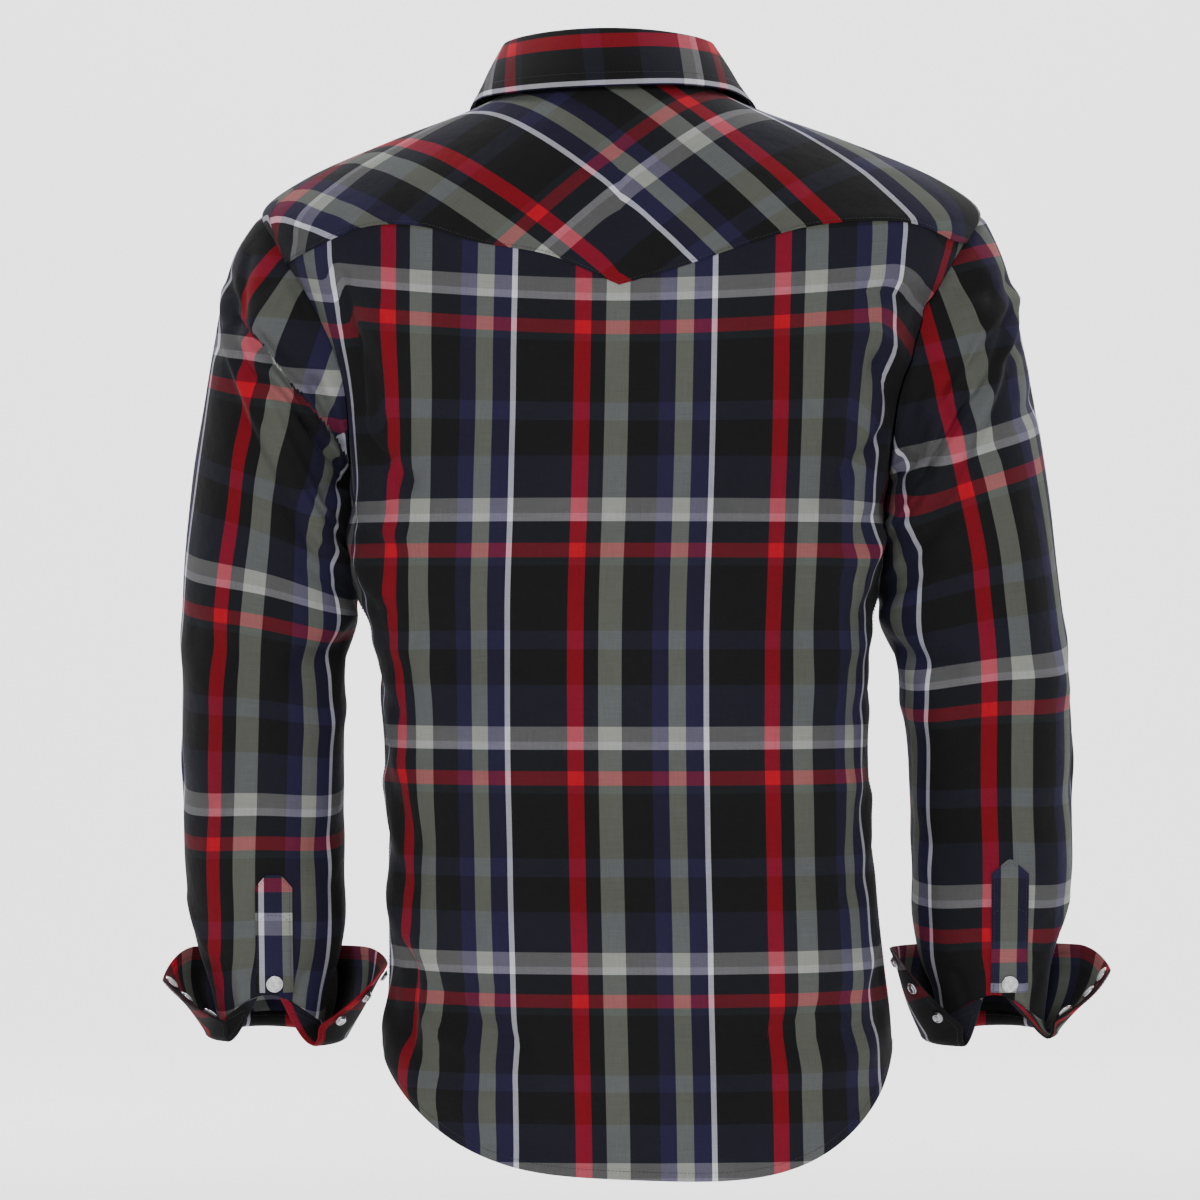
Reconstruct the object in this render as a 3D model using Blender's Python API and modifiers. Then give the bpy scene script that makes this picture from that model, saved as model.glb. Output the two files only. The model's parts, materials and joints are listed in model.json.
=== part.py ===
"""Western snap shirt in its worn form, as the cloth pieces that are cut and sewn.

Metres, +Z up. The wearer faces +Y, so the back of the shirt faces -Y and the wearer's left is -X.
The origin is the centre of the neck at the height where the shoulders meet it. The shirt hangs from
the shoulders, so everything below the collar is under z = 0.

The torso is one closed surface, torso(angle, level): rings stacked from the tails to the neckline.
Back, yoke and fronts are patches of it. The armholes are ovals cut out of its sides, and the
sleeves start from the same ovals.
"""
import math
from collections import namedtuple

import bmesh
import bpy
import numpy as np
from mathutils import Vector

# ---------------------------------------------------------------- sizes
CLOTH = 0.0010            # wall of one layer of shirting
FUSED = 0.0022            # wall of a collar, stand or cuff: two layers over interlining
SEAM_GAP = 0.0005         # clear space between two sewn pieces, on their outer side
LAID_ON = 0.0003          # clear space under a piece that lies on another

QUARTER = math.pi / 2     # angle from the centre back to a side

# torso: one row for each ring, from the tails up. `level` names the ring and is its height below
# the arms. `square` is 2 for an ellipse and more for a boxier ring.
Ring = namedtuple("Ring", "level z_back z_side z_front x_left x_right y_back y_side y_front square")
TORSO = (
    Ring(-0.770, -0.770, -0.770, -0.770, -0.160, 0.192, -0.106, 0.004, 0.112, 2.4),
    Ring(-0.660, -0.660, -0.660, -0.660, -0.163, 0.1905, -0.113, 0.004, 0.119, 2.4),
    Ring(-0.600, -0.600, -0.600, -0.600, -0.162, 0.185, -0.115, 0.003, 0.122, 2.4),
    Ring(-0.540, -0.540, -0.540, -0.540, -0.162, 0.179, -0.115, 0.002, 0.124, 2.4),
    Ring(-0.480, -0.480, -0.480, -0.480, -0.164, 0.1755, -0.115, 0.001, 0.125, 2.4),
    Ring(-0.420, -0.420, -0.420, -0.420, -0.167, 0.1745, -0.116, 0.000, 0.127, 2.4),
    Ring(-0.365, -0.365, -0.365, -0.365, -0.1725, 0.1750, -0.120, -0.009, 0.130, 2.4),
    Ring(-0.338, -0.338, -0.338, -0.338, -0.1822, 0.1780, -0.122, -0.014, 0.132, 2.4),
    Ring(-0.300, -0.300, -0.300, -0.300, -0.1860, 0.1800, -0.125, -0.015, 0.134, 2.5),
    Ring(-0.250, -0.250, -0.250, -0.250, -0.187, 0.187, -0.129, -0.012, 0.136, 2.5),
    Ring(-0.200, -0.202, -0.192, -0.205, -0.199, 0.202, -0.131, -0.006, 0.135, 2.5),
    Ring(-0.150, -0.156, -0.136, -0.168, -0.222, 0.224, -0.130, 0.000, 0.131, 2.5),
    Ring(-0.110, -0.118, -0.096, -0.141, -0.243, 0.243, -0.126, 0.002, 0.125, 2.4),
    Ring(-0.085, -0.092, -0.0715, -0.124, -0.2500, 0.2520, -0.120, 0.003, 0.118, 2.3),
    Ring(-0.060, -0.062, -0.0490, -0.105, -0.222, 0.2235, -0.110, 0.003, 0.110, 2.1),
    Ring(-0.030, -0.029, -0.0225, -0.085, -0.162, 0.1595, -0.095, 0.003, 0.100, 2.0),
    Ring(0.000, 0.002, -0.0020, -0.066, -0.1080, 0.1015, -0.077, 0.004, 0.086, 2.0),
    Ring(0.020, 0.024, 0.0110, -0.050, -0.0800, 0.0700, -0.058, 0.006, 0.070, 2.0),
)
NECKLINE = TORSO[-1].level

# hem: side seams end high, the tails hang lower
SIDE_HEM = -0.655
BACK_TAIL = -0.7385
FRONT_TAIL = -0.7300
HEM_TILT = 0.0045         # the hem hangs lower on the right than on the left
HEM_SQUARE = 2.4          # squareness of the oval that the hem is measured across
HEM_FLATNESS = 3.5        # how flat the tail is in its middle
HEM_SWING = 0.75          # how steeply it rises to the side seams

# armholes: ovals on the torso surface, between two levels
ARMPIT_LEVEL = -0.252
SHOULDER_TIP_LEVEL = -0.085
ARMHOLE_BACK_REACH = math.radians(23)
ARMHOLE_FRONT_REACH = math.radians(28)

# yoke: lower edge on the back from the left armhole to the right one
SeamPoint = namedtuple("SeamPoint", "x z")
YOKE_SEAM = (
    SeamPoint(-0.2345, -0.1120),
    SeamPoint(-0.2130, -0.1025),
    SeamPoint(-0.1740, -0.0880),
    SeamPoint(-0.1380, -0.0880),
    SeamPoint(-0.1000, -0.0990),
    SeamPoint(-0.0460, -0.1098),
    SeamPoint(-0.0010, -0.1292),
    SeamPoint(0.0440, -0.1160),
    SeamPoint(0.0900, -0.1000),
    SeamPoint(0.1250, -0.0895),
    SeamPoint(0.1640, -0.0845),
    SeamPoint(0.2050, -0.0860),
    SeamPoint(0.2330, -0.0965),
)
YOKE_POINT_ROW = 6                       # the row of the table that is the point
YOKE_FRONT_NECK = math.radians(112)      # the yoke's front edge at the neck
YOKE_FRONT_ARM = math.radians(-32)       # the same edge, on the armhole's oval

# front closure
BAND_WIDTH = 0.034
TUCK = CLOTH + LAID_ON                   # how far the underlap lies behind the band
UNDERLAP_STEP = 0.005                    # width of the step down to the underlap
BAND_OFFSETS = (-BAND_WIDTH / 2, 0.0, BAND_WIDTH / 2)
BAND_SNAP_LEVELS = (-0.035, -0.115, -0.200, -0.285, -0.370, -0.455, -0.540)

# collar
Oval = namedtuple("Oval", "x_left x_right y_back y_side y_front z_back z_side z_front")
STAND_TOP = Oval(-0.0758, 0.0600, -0.0500, 0.0060, 0.0620, 0.0465, 0.0415, -0.0170)
COLLAR_START = math.radians(176)
COLLAR_END = math.radians(150)
COLLAR_ROLL = ((0.0, SEAM_GAP), (0.0004, 0.0026), (0.0022, 0.0046), (0.0046, 0.0044), (0.0062, 0.0022))
COLLAR_DROPS = (0.3, 0.65, 1.0)          # rows of the fall, from the roll to the edge
COLLAR_BOW = 0.0016
Fall = namedtuple("Fall", "angle below_neckline lift")
COLLAR_EDGE = (
    Fall(-150, 0.068, 0.0055),
    Fall(-138, 0.050, 0.0050),
    Fall(-120, 0.030, 0.0045),
    Fall(-90, 0.0150, 0.0042),
    Fall(-45, 0.0165, 0.0055),
    Fall(0, 0.0160, 0.0060),
    Fall(40, 0.0125, 0.0056),
    Fall(90, 0.0125, 0.0042),
    Fall(120, 0.030, 0.0045),
    Fall(138, 0.050, 0.0050),
    Fall(150, 0.068, 0.0055),
)

# sleeves: one row for each ring below the armhole, by the outer and inner ends of the ring
SleeveRing = namedtuple("SleeveRing", "x_outer z_outer x_inner z_inner y_mid half_depth square rise")
SLEEVE_LEFT = (
    SleeveRing(-0.2690, -0.1000, -0.1912, -0.2630, 0.004, 0.0640, 2.2, 0.0),
    SleeveRing(-0.2785, -0.1300, -0.1900, -0.2740, 0.006, 0.0660, 2.2, 0.0),
    SleeveRing(-0.2845, -0.1650, -0.1890, -0.2900, 0.008, 0.0655, 2.2, 0.0),
    SleeveRing(-0.2920, -0.2080, -0.1876, -0.3100, 0.010, 0.0645, 2.2, 0.0),
    SleeveRing(-0.3000, -0.2570, -0.1834, -0.3360, 0.012, 0.0620, 2.2, 0.0),
    SleeveRing(-0.3055, -0.3120, -0.1868, -0.3580, 0.013, 0.0600, 2.2, 0.0),
    SleeveRing(-0.3072, -0.3700, -0.1928, -0.4000, 0.015, 0.0580, 2.2, 0.0),
    SleeveRing(-0.3076, -0.4300, -0.1938, -0.4450, 0.017, 0.0560, 2.2, 0.0),
    SleeveRing(-0.3074, -0.4900, -0.1938, -0.4920, 0.020, 0.0535, 2.2, 0.0),
    SleeveRing(-0.3058, -0.5320, -0.1936, -0.5320, 0.022, 0.0500, 2.2, 0.0),
    SleeveRing(-0.3015, -0.5660, -0.1932, -0.5660, 0.024, 0.0465, 2.2, 0.0),
    SleeveRing(-0.2950, -0.5940, -0.1975, -0.5940, 0.026, 0.0430, 2.1, 0.2),
    SleeveRing(-0.2880, -0.6200, -0.2060, -0.6200, 0.027, 0.0390, 2.0, 0.6),
    SleeveRing(-0.2830, -0.6420, -0.2080, -0.6420, 0.028, 0.0365, 2.0, 1.0),
)
SLEEVE_RIGHT = (
    SleeveRing(0.2665, -0.1000, 0.1900, -0.2630, 0.004, 0.0640, 2.2, 0.0),
    SleeveRing(0.2755, -0.1320, 0.1870, -0.2740, 0.006, 0.0660, 2.2, 0.0),
    SleeveRing(0.2825, -0.1660, 0.1835, -0.2900, 0.008, 0.0655, 2.2, 0.0),
    SleeveRing(0.2915, -0.2080, 0.1820, -0.3100, 0.010, 0.0645, 2.2, 0.0),
    SleeveRing(0.3000, -0.2620, 0.1806, -0.3360, 0.011, 0.0620, 2.2, 0.0),
    SleeveRing(0.3065, -0.3180, 0.1840, -0.3580, 0.013, 0.0600, 2.2, 0.0),
    SleeveRing(0.3125, -0.3720, 0.1955, -0.3980, 0.015, 0.0580, 2.2, 0.0),
    SleeveRing(0.3170, -0.4300, 0.2015, -0.4400, 0.017, 0.0560, 2.2, 0.0),
    SleeveRing(0.3186, -0.4900, 0.2038, -0.4920, 0.020, 0.0535, 2.2, 0.0),
    SleeveRing(0.3175, -0.5320, 0.2050, -0.5320, 0.022, 0.0500, 2.2, 0.0),
    SleeveRing(0.3125, -0.5660, 0.2060, -0.5660, 0.024, 0.0465, 2.2, 0.0),
    SleeveRing(0.3055, -0.5940, 0.2110, -0.5940, 0.026, 0.0430, 2.1, 0.2),
    SleeveRing(0.3010, -0.6200, 0.2210, -0.6200, 0.027, 0.0390, 2.0, 0.6),
    SleeveRing(0.2990, -0.6420, 0.2240, -0.6420, 0.028, 0.0365, 2.0, 1.0),
)
LEAD_ROUND = 1.25         # the ring inside the armhole that the sleeve sets out from is wider
LEAD_HIGH = 1.14          # and higher than the armhole
SLIT_RISE = 0.0230        # the seam to the cuff rises towards the slit
FAR_RISE = 0.0070         # and less on the side away from the slit

# cuffs: turned back into an open cup round the sleeve's end, slit facing the back (-Y). Each cuff
# has two ends, the outer and the inner one. `seam_gap` and `fold_gap` are the angles of the end from
# the slit, at the seam and at the fold; `room` and `drop` say how far the fold stands away from the
# seam and how low it hangs; `z_corner` is the height of the corner at the free edge.
CuffEnd = namedtuple("CuffEnd", "seam_gap fold_gap room drop z_corner")
Cuff = namedtuple("Cuff", "outer inner x_centre half_width y_open depth z_far end_turn")
CUFF_LEFT = Cuff(CuffEnd(12, 40, 0.0090, 0.0085, -0.6090), CuffEnd(12, 42, 0.0165, 0.0115, -0.5985),
                 -0.2417, 0.0785, -0.022, 0.070, -0.5885, 1.68)
CUFF_RIGHT = Cuff(CuffEnd(12, 66, 0.0100, 0.0075, -0.6020), CuffEnd(12, 28, 0.0120, 0.0115, -0.5870),
                  0.2664, 0.0770, -0.022, 0.070, -0.5870, 1.68)
CUFF_SLIT = math.radians(12)             # half the slit's opening at the seam
CUFF_BELLY = 0.0060                      # the cuff's outward bow between the fold and its free edge

# sleeve plackets
PLACKET_WIDTH = 0.0255
PLACKET_BOTTOM = -0.6170
Placket = namedtuple("Placket", "x_top x_bottom z_top z_corner chamfer")
PLACKET_LEFT = Placket(-0.2412, -0.2412, -0.5340, -0.5430, 0.6)
PLACKET_RIGHT = Placket(0.2710, 0.2716, -0.5230, -0.5330, 0.9)
PLACKET_SNAP_Z = -0.6105
PLACKET_COLUMNS = 7
PLACKET_ROWS = 9

# snaps
CAP_RADIUS = 0.0056
CAP_HEIGHT = 0.0026
STUD_RADIUS = 0.0044
STUD_HEIGHT = 0.0022
CUFF_ROLL = ((0.0, 0.0, 0.0), (0.0, 0.5, 0.45), (0.15, 0.85, 0.8), (0.5, 1.0, 1.0), (0.85, 0.88, 1.0),
             (1.0, 0.6, 1.0))            # away, down and slide along the slit, round the fold
CUFF_RISES = (0.16, 0.34, 0.52, 0.68, 0.84, 1.0)    # heights of the cuff's rows over the fold
CUFF_SNAP_ROWS = (6, 8, 10)              # rows of the cuff that carry snaps
CUFF_SNAP_INSET = 0.075                  # from the cuff's end, as a share of half its length
CUFF_STUD_LIFT = 0.0005                  # room under a stud on the bulging face of the cuff
CUFF_CAP_LIFT = 0.0009                   # room under a cap on its hollow face

# mesh steps
SIDE_ROWS = 13                           # rings of the body panels under the armpit
ARM_ROWS_BACK = 8                        # steps of the armhole along the back
ARM_ROWS_YOKE = 5                        # steps of the armhole across each end of the yoke
ARM_ROWS_FRONT = 9                       # steps of the armhole along the front
YOKE_ROWS = 6
NECK_STEPS_FRONT = 6
SLEEVE_ROWS = 20
EDGE_FADE = 4.0                          # how soon a panel's rows forget the shape of its hem and top

# largest folds: a soft trough (depth < 0) or ridge (depth > 0) along a line on the surface.
# Torso folds run between (angle in degrees, level); sleeve folds between (turn in degrees, along).
Fold = namedtuple("Fold", "angle_start level_start angle_end level_end width depth")
TORSO_FOLDS = (
    Fold(-76, -0.595, -28, -0.652, 0.019, -0.0055),
    Fold(-80, -0.640, -40, -0.692, 0.019, 0.0045),
    Fold(-84, -0.440, -56, -0.510, 0.018, -0.0035),
    Fold(-70, -0.290, -50, -0.390, 0.018, 0.0035),
    Fold(72, -0.290, 50, -0.400, 0.018, 0.0035),
    Fold(84, -0.450, 58, -0.520, 0.018, -0.0035),
    Fold(76, -0.605, 36, -0.640, 0.018, -0.0045),
    Fold(-122, -0.290, -146, -0.380, 0.019, 0.0040),
    Fold(122, -0.290, 146, -0.380, 0.019, 0.0040),
    Fold(-110, -0.560, -142, -0.630, 0.019, -0.0045),
    Fold(110, -0.570, 142, -0.630, 0.019, -0.0045),
)
TORSO_RADIUS = 0.158                     # turns an angle on the torso into a distance
SLEEVE_FOLDS = (
    Fold(40, 0.175, 128, 0.275, 0.016, 0.0045),
    Fold(50, 0.245, 140, 0.345, 0.015, -0.0040),
    Fold(160, 0.420, 95, 0.480, 0.016, 0.0035),
    Fold(330, 0.230, 230, 0.320, 0.016, 0.0045),
    Fold(200, 0.430, 262, 0.500, 0.016, 0.0035),
)
SLEEVE_RADIUS = 0.056
SLEEVE_LENGTH = 0.58

SHIRTING = ("shirting", (0.035, 0.030, 0.045), 0.85, 0.0)
CROSS_CUT = ("bias_shirting", (0.120, 0.015, 0.025), 0.85, 0.0)
TRIM = ("doubled_shirting", (0.080, 0.080, 0.075), 0.85, 0.0)
PEARL = ("pearl_snap", (0.80, 0.80, 0.78), 0.30, 0.6)
STEEL = ("steel_snap", (0.60, 0.60, 0.60), 0.35, 1.0)


# ---------------------------------------------------------------- curves
def through(knots, rows, at):
    """A smooth curve through rows of values that sit at rising knots."""
    knots = np.asarray(knots, float)
    rows = np.asarray(rows, float)
    at = np.clip(np.asarray(at, float), knots[0], knots[-1])
    slopes = np.gradient(rows, knots, axis=0)
    first = np.clip(np.searchsorted(knots, at, side="right") - 1, 0, len(knots) - 2)
    step = knots[first + 1] - knots[first]
    t = (at - knots[first]) / step
    spread = (...,) + (None,) * (rows.ndim - 1)
    t, step = t[spread], step[spread]
    start = rows[first] * (2 * t**3 - 3 * t**2 + 1) + slopes[first] * step * (t**3 - 2 * t**2 + t)
    end = rows[first + 1] * (3 * t**2 - 2 * t**3) + slopes[first + 1] * step * (t**3 - t**2)
    return start + end


def smooth_step(value, low, high):
    """0 below low, 1 above high, smooth between."""
    t = np.clip((value - low) / (high - low), 0.0, 1.0)
    return t * t * (3 - 2 * t)


def oval_reach(angle, square):
    """How far a unit superellipse reaches at an angle."""
    return (np.abs(np.sin(angle)) ** square + np.abs(np.cos(angle)) ** square) ** (-1.0 / square)


# ---------------------------------------------------------------- torso surface
RING_LEVELS = [ring.level for ring in TORSO]
RING_VALUES = [tuple(ring)[1:] for ring in TORSO]


def plain_torso(angle, level):
    """A point of the torso without its folds. Angle 0 is the centre back, positive to the right."""
    angle = np.asarray(angle, float)
    ring = through(RING_LEVELS, RING_VALUES, level + 0.0 * angle)
    z_back, z_side, z_front, x_left, x_right, y_back, y_side, y_front, square = np.moveaxis(ring, -1, 0)
    reach = oval_reach(angle, square)
    across = np.sin(angle) * reach
    along = np.cos(angle) * reach
    toward = np.cos(angle) ** 2
    behind = along > 0
    x = (x_left + x_right) / 2 + across * (x_right - x_left) / 2
    y = y_side + along * np.where(behind, y_back - y_side, y_side - y_front)
    z = z_side + toward * (np.where(behind, z_back, z_front) - z_side)
    return np.stack([x, y, z], axis=-1)


def fold_height(folds, radius, length, angle, level):
    """The sum of a table's folds at a place of a surface, in metres along its normal."""
    height = np.zeros_like(angle)
    here = np.stack([angle * radius, level * length], axis=-1)
    for fold in folds:
        start = np.array([math.radians(fold.angle_start) * radius, fold.level_start * length])
        end = np.array([math.radians(fold.angle_end) * radius, fold.level_end * length])
        run = end - start
        share = np.clip((here - start) @ run / (run @ run), 0.0, 1.0)
        miss = np.linalg.norm(here - start - share[..., None] * run, axis=-1)
        height += fold.depth * np.exp(-((miss / fold.width) ** 2))
    return height


def torso_normal(angle, level):
    """The outward direction of the torso."""
    nudge = 1e-3
    around = plain_torso(angle + nudge, level) - plain_torso(angle - nudge, level)
    upward = plain_torso(angle, level + nudge) - plain_torso(angle, level - nudge)
    normal = np.cross(around, upward)
    return normal / np.linalg.norm(normal, axis=-1, keepdims=True)


def torso(angle, level, out=0.0):
    """A point of the torso with its folds, moved out along the surface's normal."""
    angle = np.asarray(angle, float)
    level = level + 0.0 * angle
    height = fold_height(TORSO_FOLDS, TORSO_RADIUS, 1.0, angle, level)
    return plain_torso(angle, level) + (height + out)[..., None] * torso_normal(angle, level)


def place_on_back(x, z):
    """The angle and level of the point of the back at a given x and z."""
    angle = math.asin(max(-0.9, min(0.9, x / 0.26)))
    level = z
    nudge = 1e-4
    for _ in range(30):
        point = plain_torso(angle, level)
        by_angle = (plain_torso(angle + nudge, level) - point) / nudge
        by_level = (plain_torso(angle, level + nudge) - point) / nudge
        slopes = np.array([[by_angle[0], by_level[0]], [by_angle[2], by_level[2]]])
        miss = np.array([x - point[0], z - point[2]])
        change = np.linalg.solve(slopes, miss)
        angle += float(np.clip(change[0], -0.2, 0.2))
        level += float(np.clip(change[1], -0.03, 0.03))
    return angle, level


def hem_level(angle, tail):
    """The hem: level with the side at the side seams and down to the tail between them."""
    across = np.minimum(np.abs(np.sin(angle)) * oval_reach(angle, HEM_SQUARE), 1.0)
    drop = (1 - across**HEM_FLATNESS) ** HEM_SWING
    return SIDE_HEM + (tail - SIDE_HEM) * drop - HEM_TILT * np.sin(angle) * (drop + 0.3)


def armhole(turn, side):
    """Angle and level on an armhole. Turn 0 is the shoulder tip, pi the armpit, pi/2 the back."""
    middle = (SHOULDER_TIP_LEVEL + ARMPIT_LEVEL) / 2
    half = (SHOULDER_TIP_LEVEL - ARMPIT_LEVEL) / 2
    reach = np.where(np.sin(turn) > 0, ARMHOLE_BACK_REACH, ARMHOLE_FRONT_REACH)
    return side * (QUARTER - reach * np.sin(turn)), middle + half * np.cos(turn)


def yoke_turn(side):
    """Where on the armhole the yoke's lower edge starts."""
    end = YOKE_SEAM[0] if side < 0 else YOKE_SEAM[-1]
    level = place_on_back(end.x, end.z)[1]
    middle = (SHOULDER_TIP_LEVEL + ARMPIT_LEVEL) / 2
    half = (SHOULDER_TIP_LEVEL - ARMPIT_LEVEL) / 2
    return math.acos((level - middle) / half)


# ---------------------------------------------------------------- patches of the torso
def patch(bottom, top, left, right):
    """Fill a four-sided outline of (angle, level) points with a grid of rows from left to right."""
    bottom, top, left, right = (np.asarray(edge, float) for edge in (bottom, top, left, right))
    across = np.linspace(0, 1, len(bottom))[:, None, None]
    up = np.linspace(0, 1, len(left))[None, :, None]
    grid = left[None, :] * (1 - across) + right[None, :] * across
    from_bottom = bottom[:, None] - grid[:, :1]
    from_top = top[:, None] - grid[:, -1:]
    return grid + from_bottom * (1 - up) ** EDGE_FADE + from_top * up ** EDGE_FADE


def yoke_seam_points():
    """The yoke's lower edge as (angle, level): a step about every 20 mm, its ends on the armholes."""
    x = np.array([point.x for point in YOKE_SEAM])
    z = np.array([point.z for point in YOKE_SEAM])
    steps = np.sort(np.concatenate([x, (x[1:] + x[:-1]) / 2]))
    point = YOKE_POINT_ROW
    left = through(x[:point + 1], z[:point + 1], steps[steps < x[point]])
    right = through(x[point:], z[point:], steps[steps >= x[point]])
    seam = [place_on_back(*place) for place in zip(steps, np.concatenate([left, right]))]
    seam[0] = armhole(yoke_turn(-1), -1)
    seam[-1] = armhole(yoke_turn(1), 1)
    return np.array(seam, float)


def turns(start, end, steps):
    """Evenly spaced turns round an armhole."""
    return np.linspace(start, end, steps + 1)


def on_armhole(turn, side):
    return np.stack(armhole(turn, side), axis=-1)


def back_turns(side):
    return turns(math.pi, yoke_turn(side), ARM_ROWS_BACK)


def yoke_turns(side):
    return turns(yoke_turn(side), YOKE_FRONT_ARM, ARM_ROWS_YOKE)


def front_turns():
    return turns(-math.pi, YOKE_FRONT_ARM, ARM_ROWS_FRONT)


def side_levels():
    return np.linspace(SIDE_HEM, ARMPIT_LEVEL, SIDE_ROWS + 1)


def back_grid():
    """Angles and levels of the back, from the hem up to the yoke."""
    seam = yoke_seam_points()
    share = np.linspace(-1, 1, len(seam))
    angles = QUARTER * share
    hem = np.stack([angles, hem_level(angles, BACK_TAIL)], axis=-1)
    edges = []
    for side in (-1, 1):
        below = np.stack([np.full(SIDE_ROWS, side * QUARTER), side_levels()[:-1]], axis=-1)
        edges.append(np.concatenate([below, on_armhole(back_turns(side), side)]))
    return patch(hem, seam, *edges)


def yoke_grid():
    """Angles and levels of the yoke: from its outer edge to the neckline, front to back to front."""
    left = on_armhole(yoke_turns(-1)[::-1], -1)
    right = on_armhole(yoke_turns(1), 1)
    outer = np.concatenate([left[:-1], yoke_seam_points(), right[1:]])
    share = (outer[:, 0] - outer[0, 0]) / (outer[-1, 0] - outer[0, 0])
    neck_angles = YOKE_FRONT_NECK * (2 * share - 1)
    inner = np.stack([neck_angles, np.full(len(outer), NECKLINE)], axis=-1)
    up = np.linspace(0, 1, YOKE_ROWS + 1)[None, :, None]
    return outer[:, None] * (1 - up) + inner[:, None] * up


def band_angle(level, x_offset, side):
    """The angle on the front at which the surface is at the band's centre line plus an offset."""
    angles = np.linspace(math.pi - 0.6, math.pi + 0.6, 241)
    rows = []
    for one_level in np.atleast_1d(level):
        x = plain_torso(angles, one_level)[:, 0]
        centre = band_centre(one_level)
        rows.append(np.interp(centre + x_offset, x[::-1], angles[::-1]))
    return np.array(rows) - (2 * math.pi if side < 0 else 0.0)


def band_centre(level):
    """The front's centre line: in the middle of the neck at the top, and of the torso below."""
    ring = through(RING_LEVELS, RING_VALUES, level)
    return (ring[3] + ring[4]) / 2


def front_levels(steps):
    """Levels up the front edge, from the hem to the neckline."""
    return np.linspace(hem_level(math.pi, FRONT_TAIL), NECKLINE, steps + 1)


def front_grid(side, x_edge):
    """Angles and levels of a front, from its edge at the band to its side seam and armhole."""
    rows = SIDE_ROWS + ARM_ROWS_FRONT
    levels = front_levels(rows)
    edge_angle = band_angle(levels, x_edge, side)
    edge = np.stack([edge_angle, levels], axis=-1)
    below = np.stack([np.full(SIDE_ROWS, side * QUARTER), side_levels()[:-1]], axis=-1)
    outer = np.concatenate([below, on_armhole(front_turns(), side)])
    share = np.linspace(0, 1, NECK_STEPS_FRONT + 1)[:-1]
    neck_end = side * YOKE_FRONT_NECK
    neck = np.stack([edge_angle[-1] + share * (neck_end - edge_angle[-1]), np.full(len(share), NECKLINE)], -1)
    shoulder_share = np.linspace(0, 1, YOKE_ROWS + 1)[:, None]
    shoulder = np.array([neck_end, NECKLINE]) * (1 - shoulder_share) + outer[-1] * shoulder_share
    top = np.concatenate([neck, shoulder])
    angles = edge_angle[0] + np.linspace(0, 1, len(top)) * (side * QUARTER - edge_angle[0])
    hem = np.stack([angles, hem_level(angles, FRONT_TAIL)], axis=-1)
    hem[0] = edge[0]
    return patch(hem, top, edge, outer)


# ---------------------------------------------------------------- sleeves
def sleeve_rings(side, turn):
    """The sleeve's rings at the given turns: one inside the armhole, the armhole, then the table."""
    table = SLEEVE_LEFT if side < 0 else SLEEVE_RIGHT
    angle, level = armhole(turn, side)
    seam = torso(angle, level)
    middle = (SHOULDER_TIP_LEVEL + ARMPIT_LEVEL) / 2
    side_angle = side * QUARTER
    inside = torso(side_angle + (angle - side_angle) * LEAD_ROUND, middle + (level - middle) * LEAD_HIGH)
    lead = smooth_step(np.cos(turn), -0.3, 0.5)[:, None]
    first = sleeve_ring(table[0], turn)
    rings = [seam - (first - seam) * (1 - lead) + (inside - seam) * lead, seam, first]
    rings += [sleeve_ring(row, turn) for row in table[1:]]
    return np.stack(rings)


def sleeve_ring(row, turn):
    """One ring of a sleeve."""
    reach = oval_reach(turn, row.square)
    outer = np.array([row.x_outer, 0.0, row.z_outer])
    inner = np.array([row.x_inner, 0.0, row.z_inner])
    centre = (outer + inner) / 2 + np.array([0.0, row.y_mid, 0.0])
    ring = centre + (np.cos(turn) * reach)[:, None] * (outer - inner) / 2
    ring[:, 1] -= np.sin(turn) * reach * row.half_depth
    ring[:, 2] += row.rise * cuff_rise(-np.sin(turn))
    return ring


def cuff_rise(away):
    """How far the cuff's seam rises. Away is 1 on the side away from the slit and -1 at the slit."""
    return SLIT_RISE * ((1 - away) / 2) ** 5 + FAR_RISE * ((1 + away) / 2) ** 2


def plain_sleeve(side, turn, along):
    """Points of a sleeve without folds, as rows of rings. Along is 0 at the armhole, 1 at the cuff."""
    rings = sleeve_rings(side, turn)
    return through(np.arange(len(rings)) - 1.0, rings, along * (len(rings) - 2))


def sleeve_normals(side, turn, along):
    """The outward directions of a sleeve."""
    nudge = 1e-3
    low, high = np.clip(along - nudge, 0, 1), np.clip(along + nudge, 0, 1)
    around = plain_sleeve(side, turn + nudge, along) - plain_sleeve(side, turn - nudge, along)
    downward = plain_sleeve(side, turn, high) - plain_sleeve(side, turn, low)
    return side * unit(np.cross(around, downward))


def sleeve(side, turn, along, out=0.0):
    """Points of a sleeve with its folds, moved out along its normals."""
    place = np.broadcast_to(turn % (2 * math.pi), (len(along), len(turn)))
    height = fold_height(SLEEVE_FOLDS, SLEEVE_RADIUS, SLEEVE_LENGTH, place, along[:, None] + 0 * place)
    points = plain_sleeve(side, turn, along)
    return points + (height + out)[..., None] * sleeve_normals(side, turn, along)


def place_on_sleeve(side, x, z):
    """Turn and along of the point on the back of a sleeve at a given x and z."""
    turn, along = QUARTER, 0.8
    nudge = 1e-4
    for _ in range(30):
        here, by_turn, by_along = (plain_sleeve(side, np.array([turn + a]), np.array([along + b]))[0, 0]
                                   for a, b in ((0, 0), (nudge, 0), (0, nudge)))
        by_turn, by_along = (by_turn - here) / nudge, (by_along - here) / nudge
        slopes = np.array([[by_turn[0], by_along[0]], [by_turn[2], by_along[2]]])
        change = np.linalg.solve(slopes, np.array([x - here[0], z - here[2]]))
        turn += float(np.clip(change[0], -0.3, 0.3))
        along = float(np.clip(along + np.clip(change[1], -0.1, 0.1), 0.3, 0.999))
    return turn, along


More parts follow.
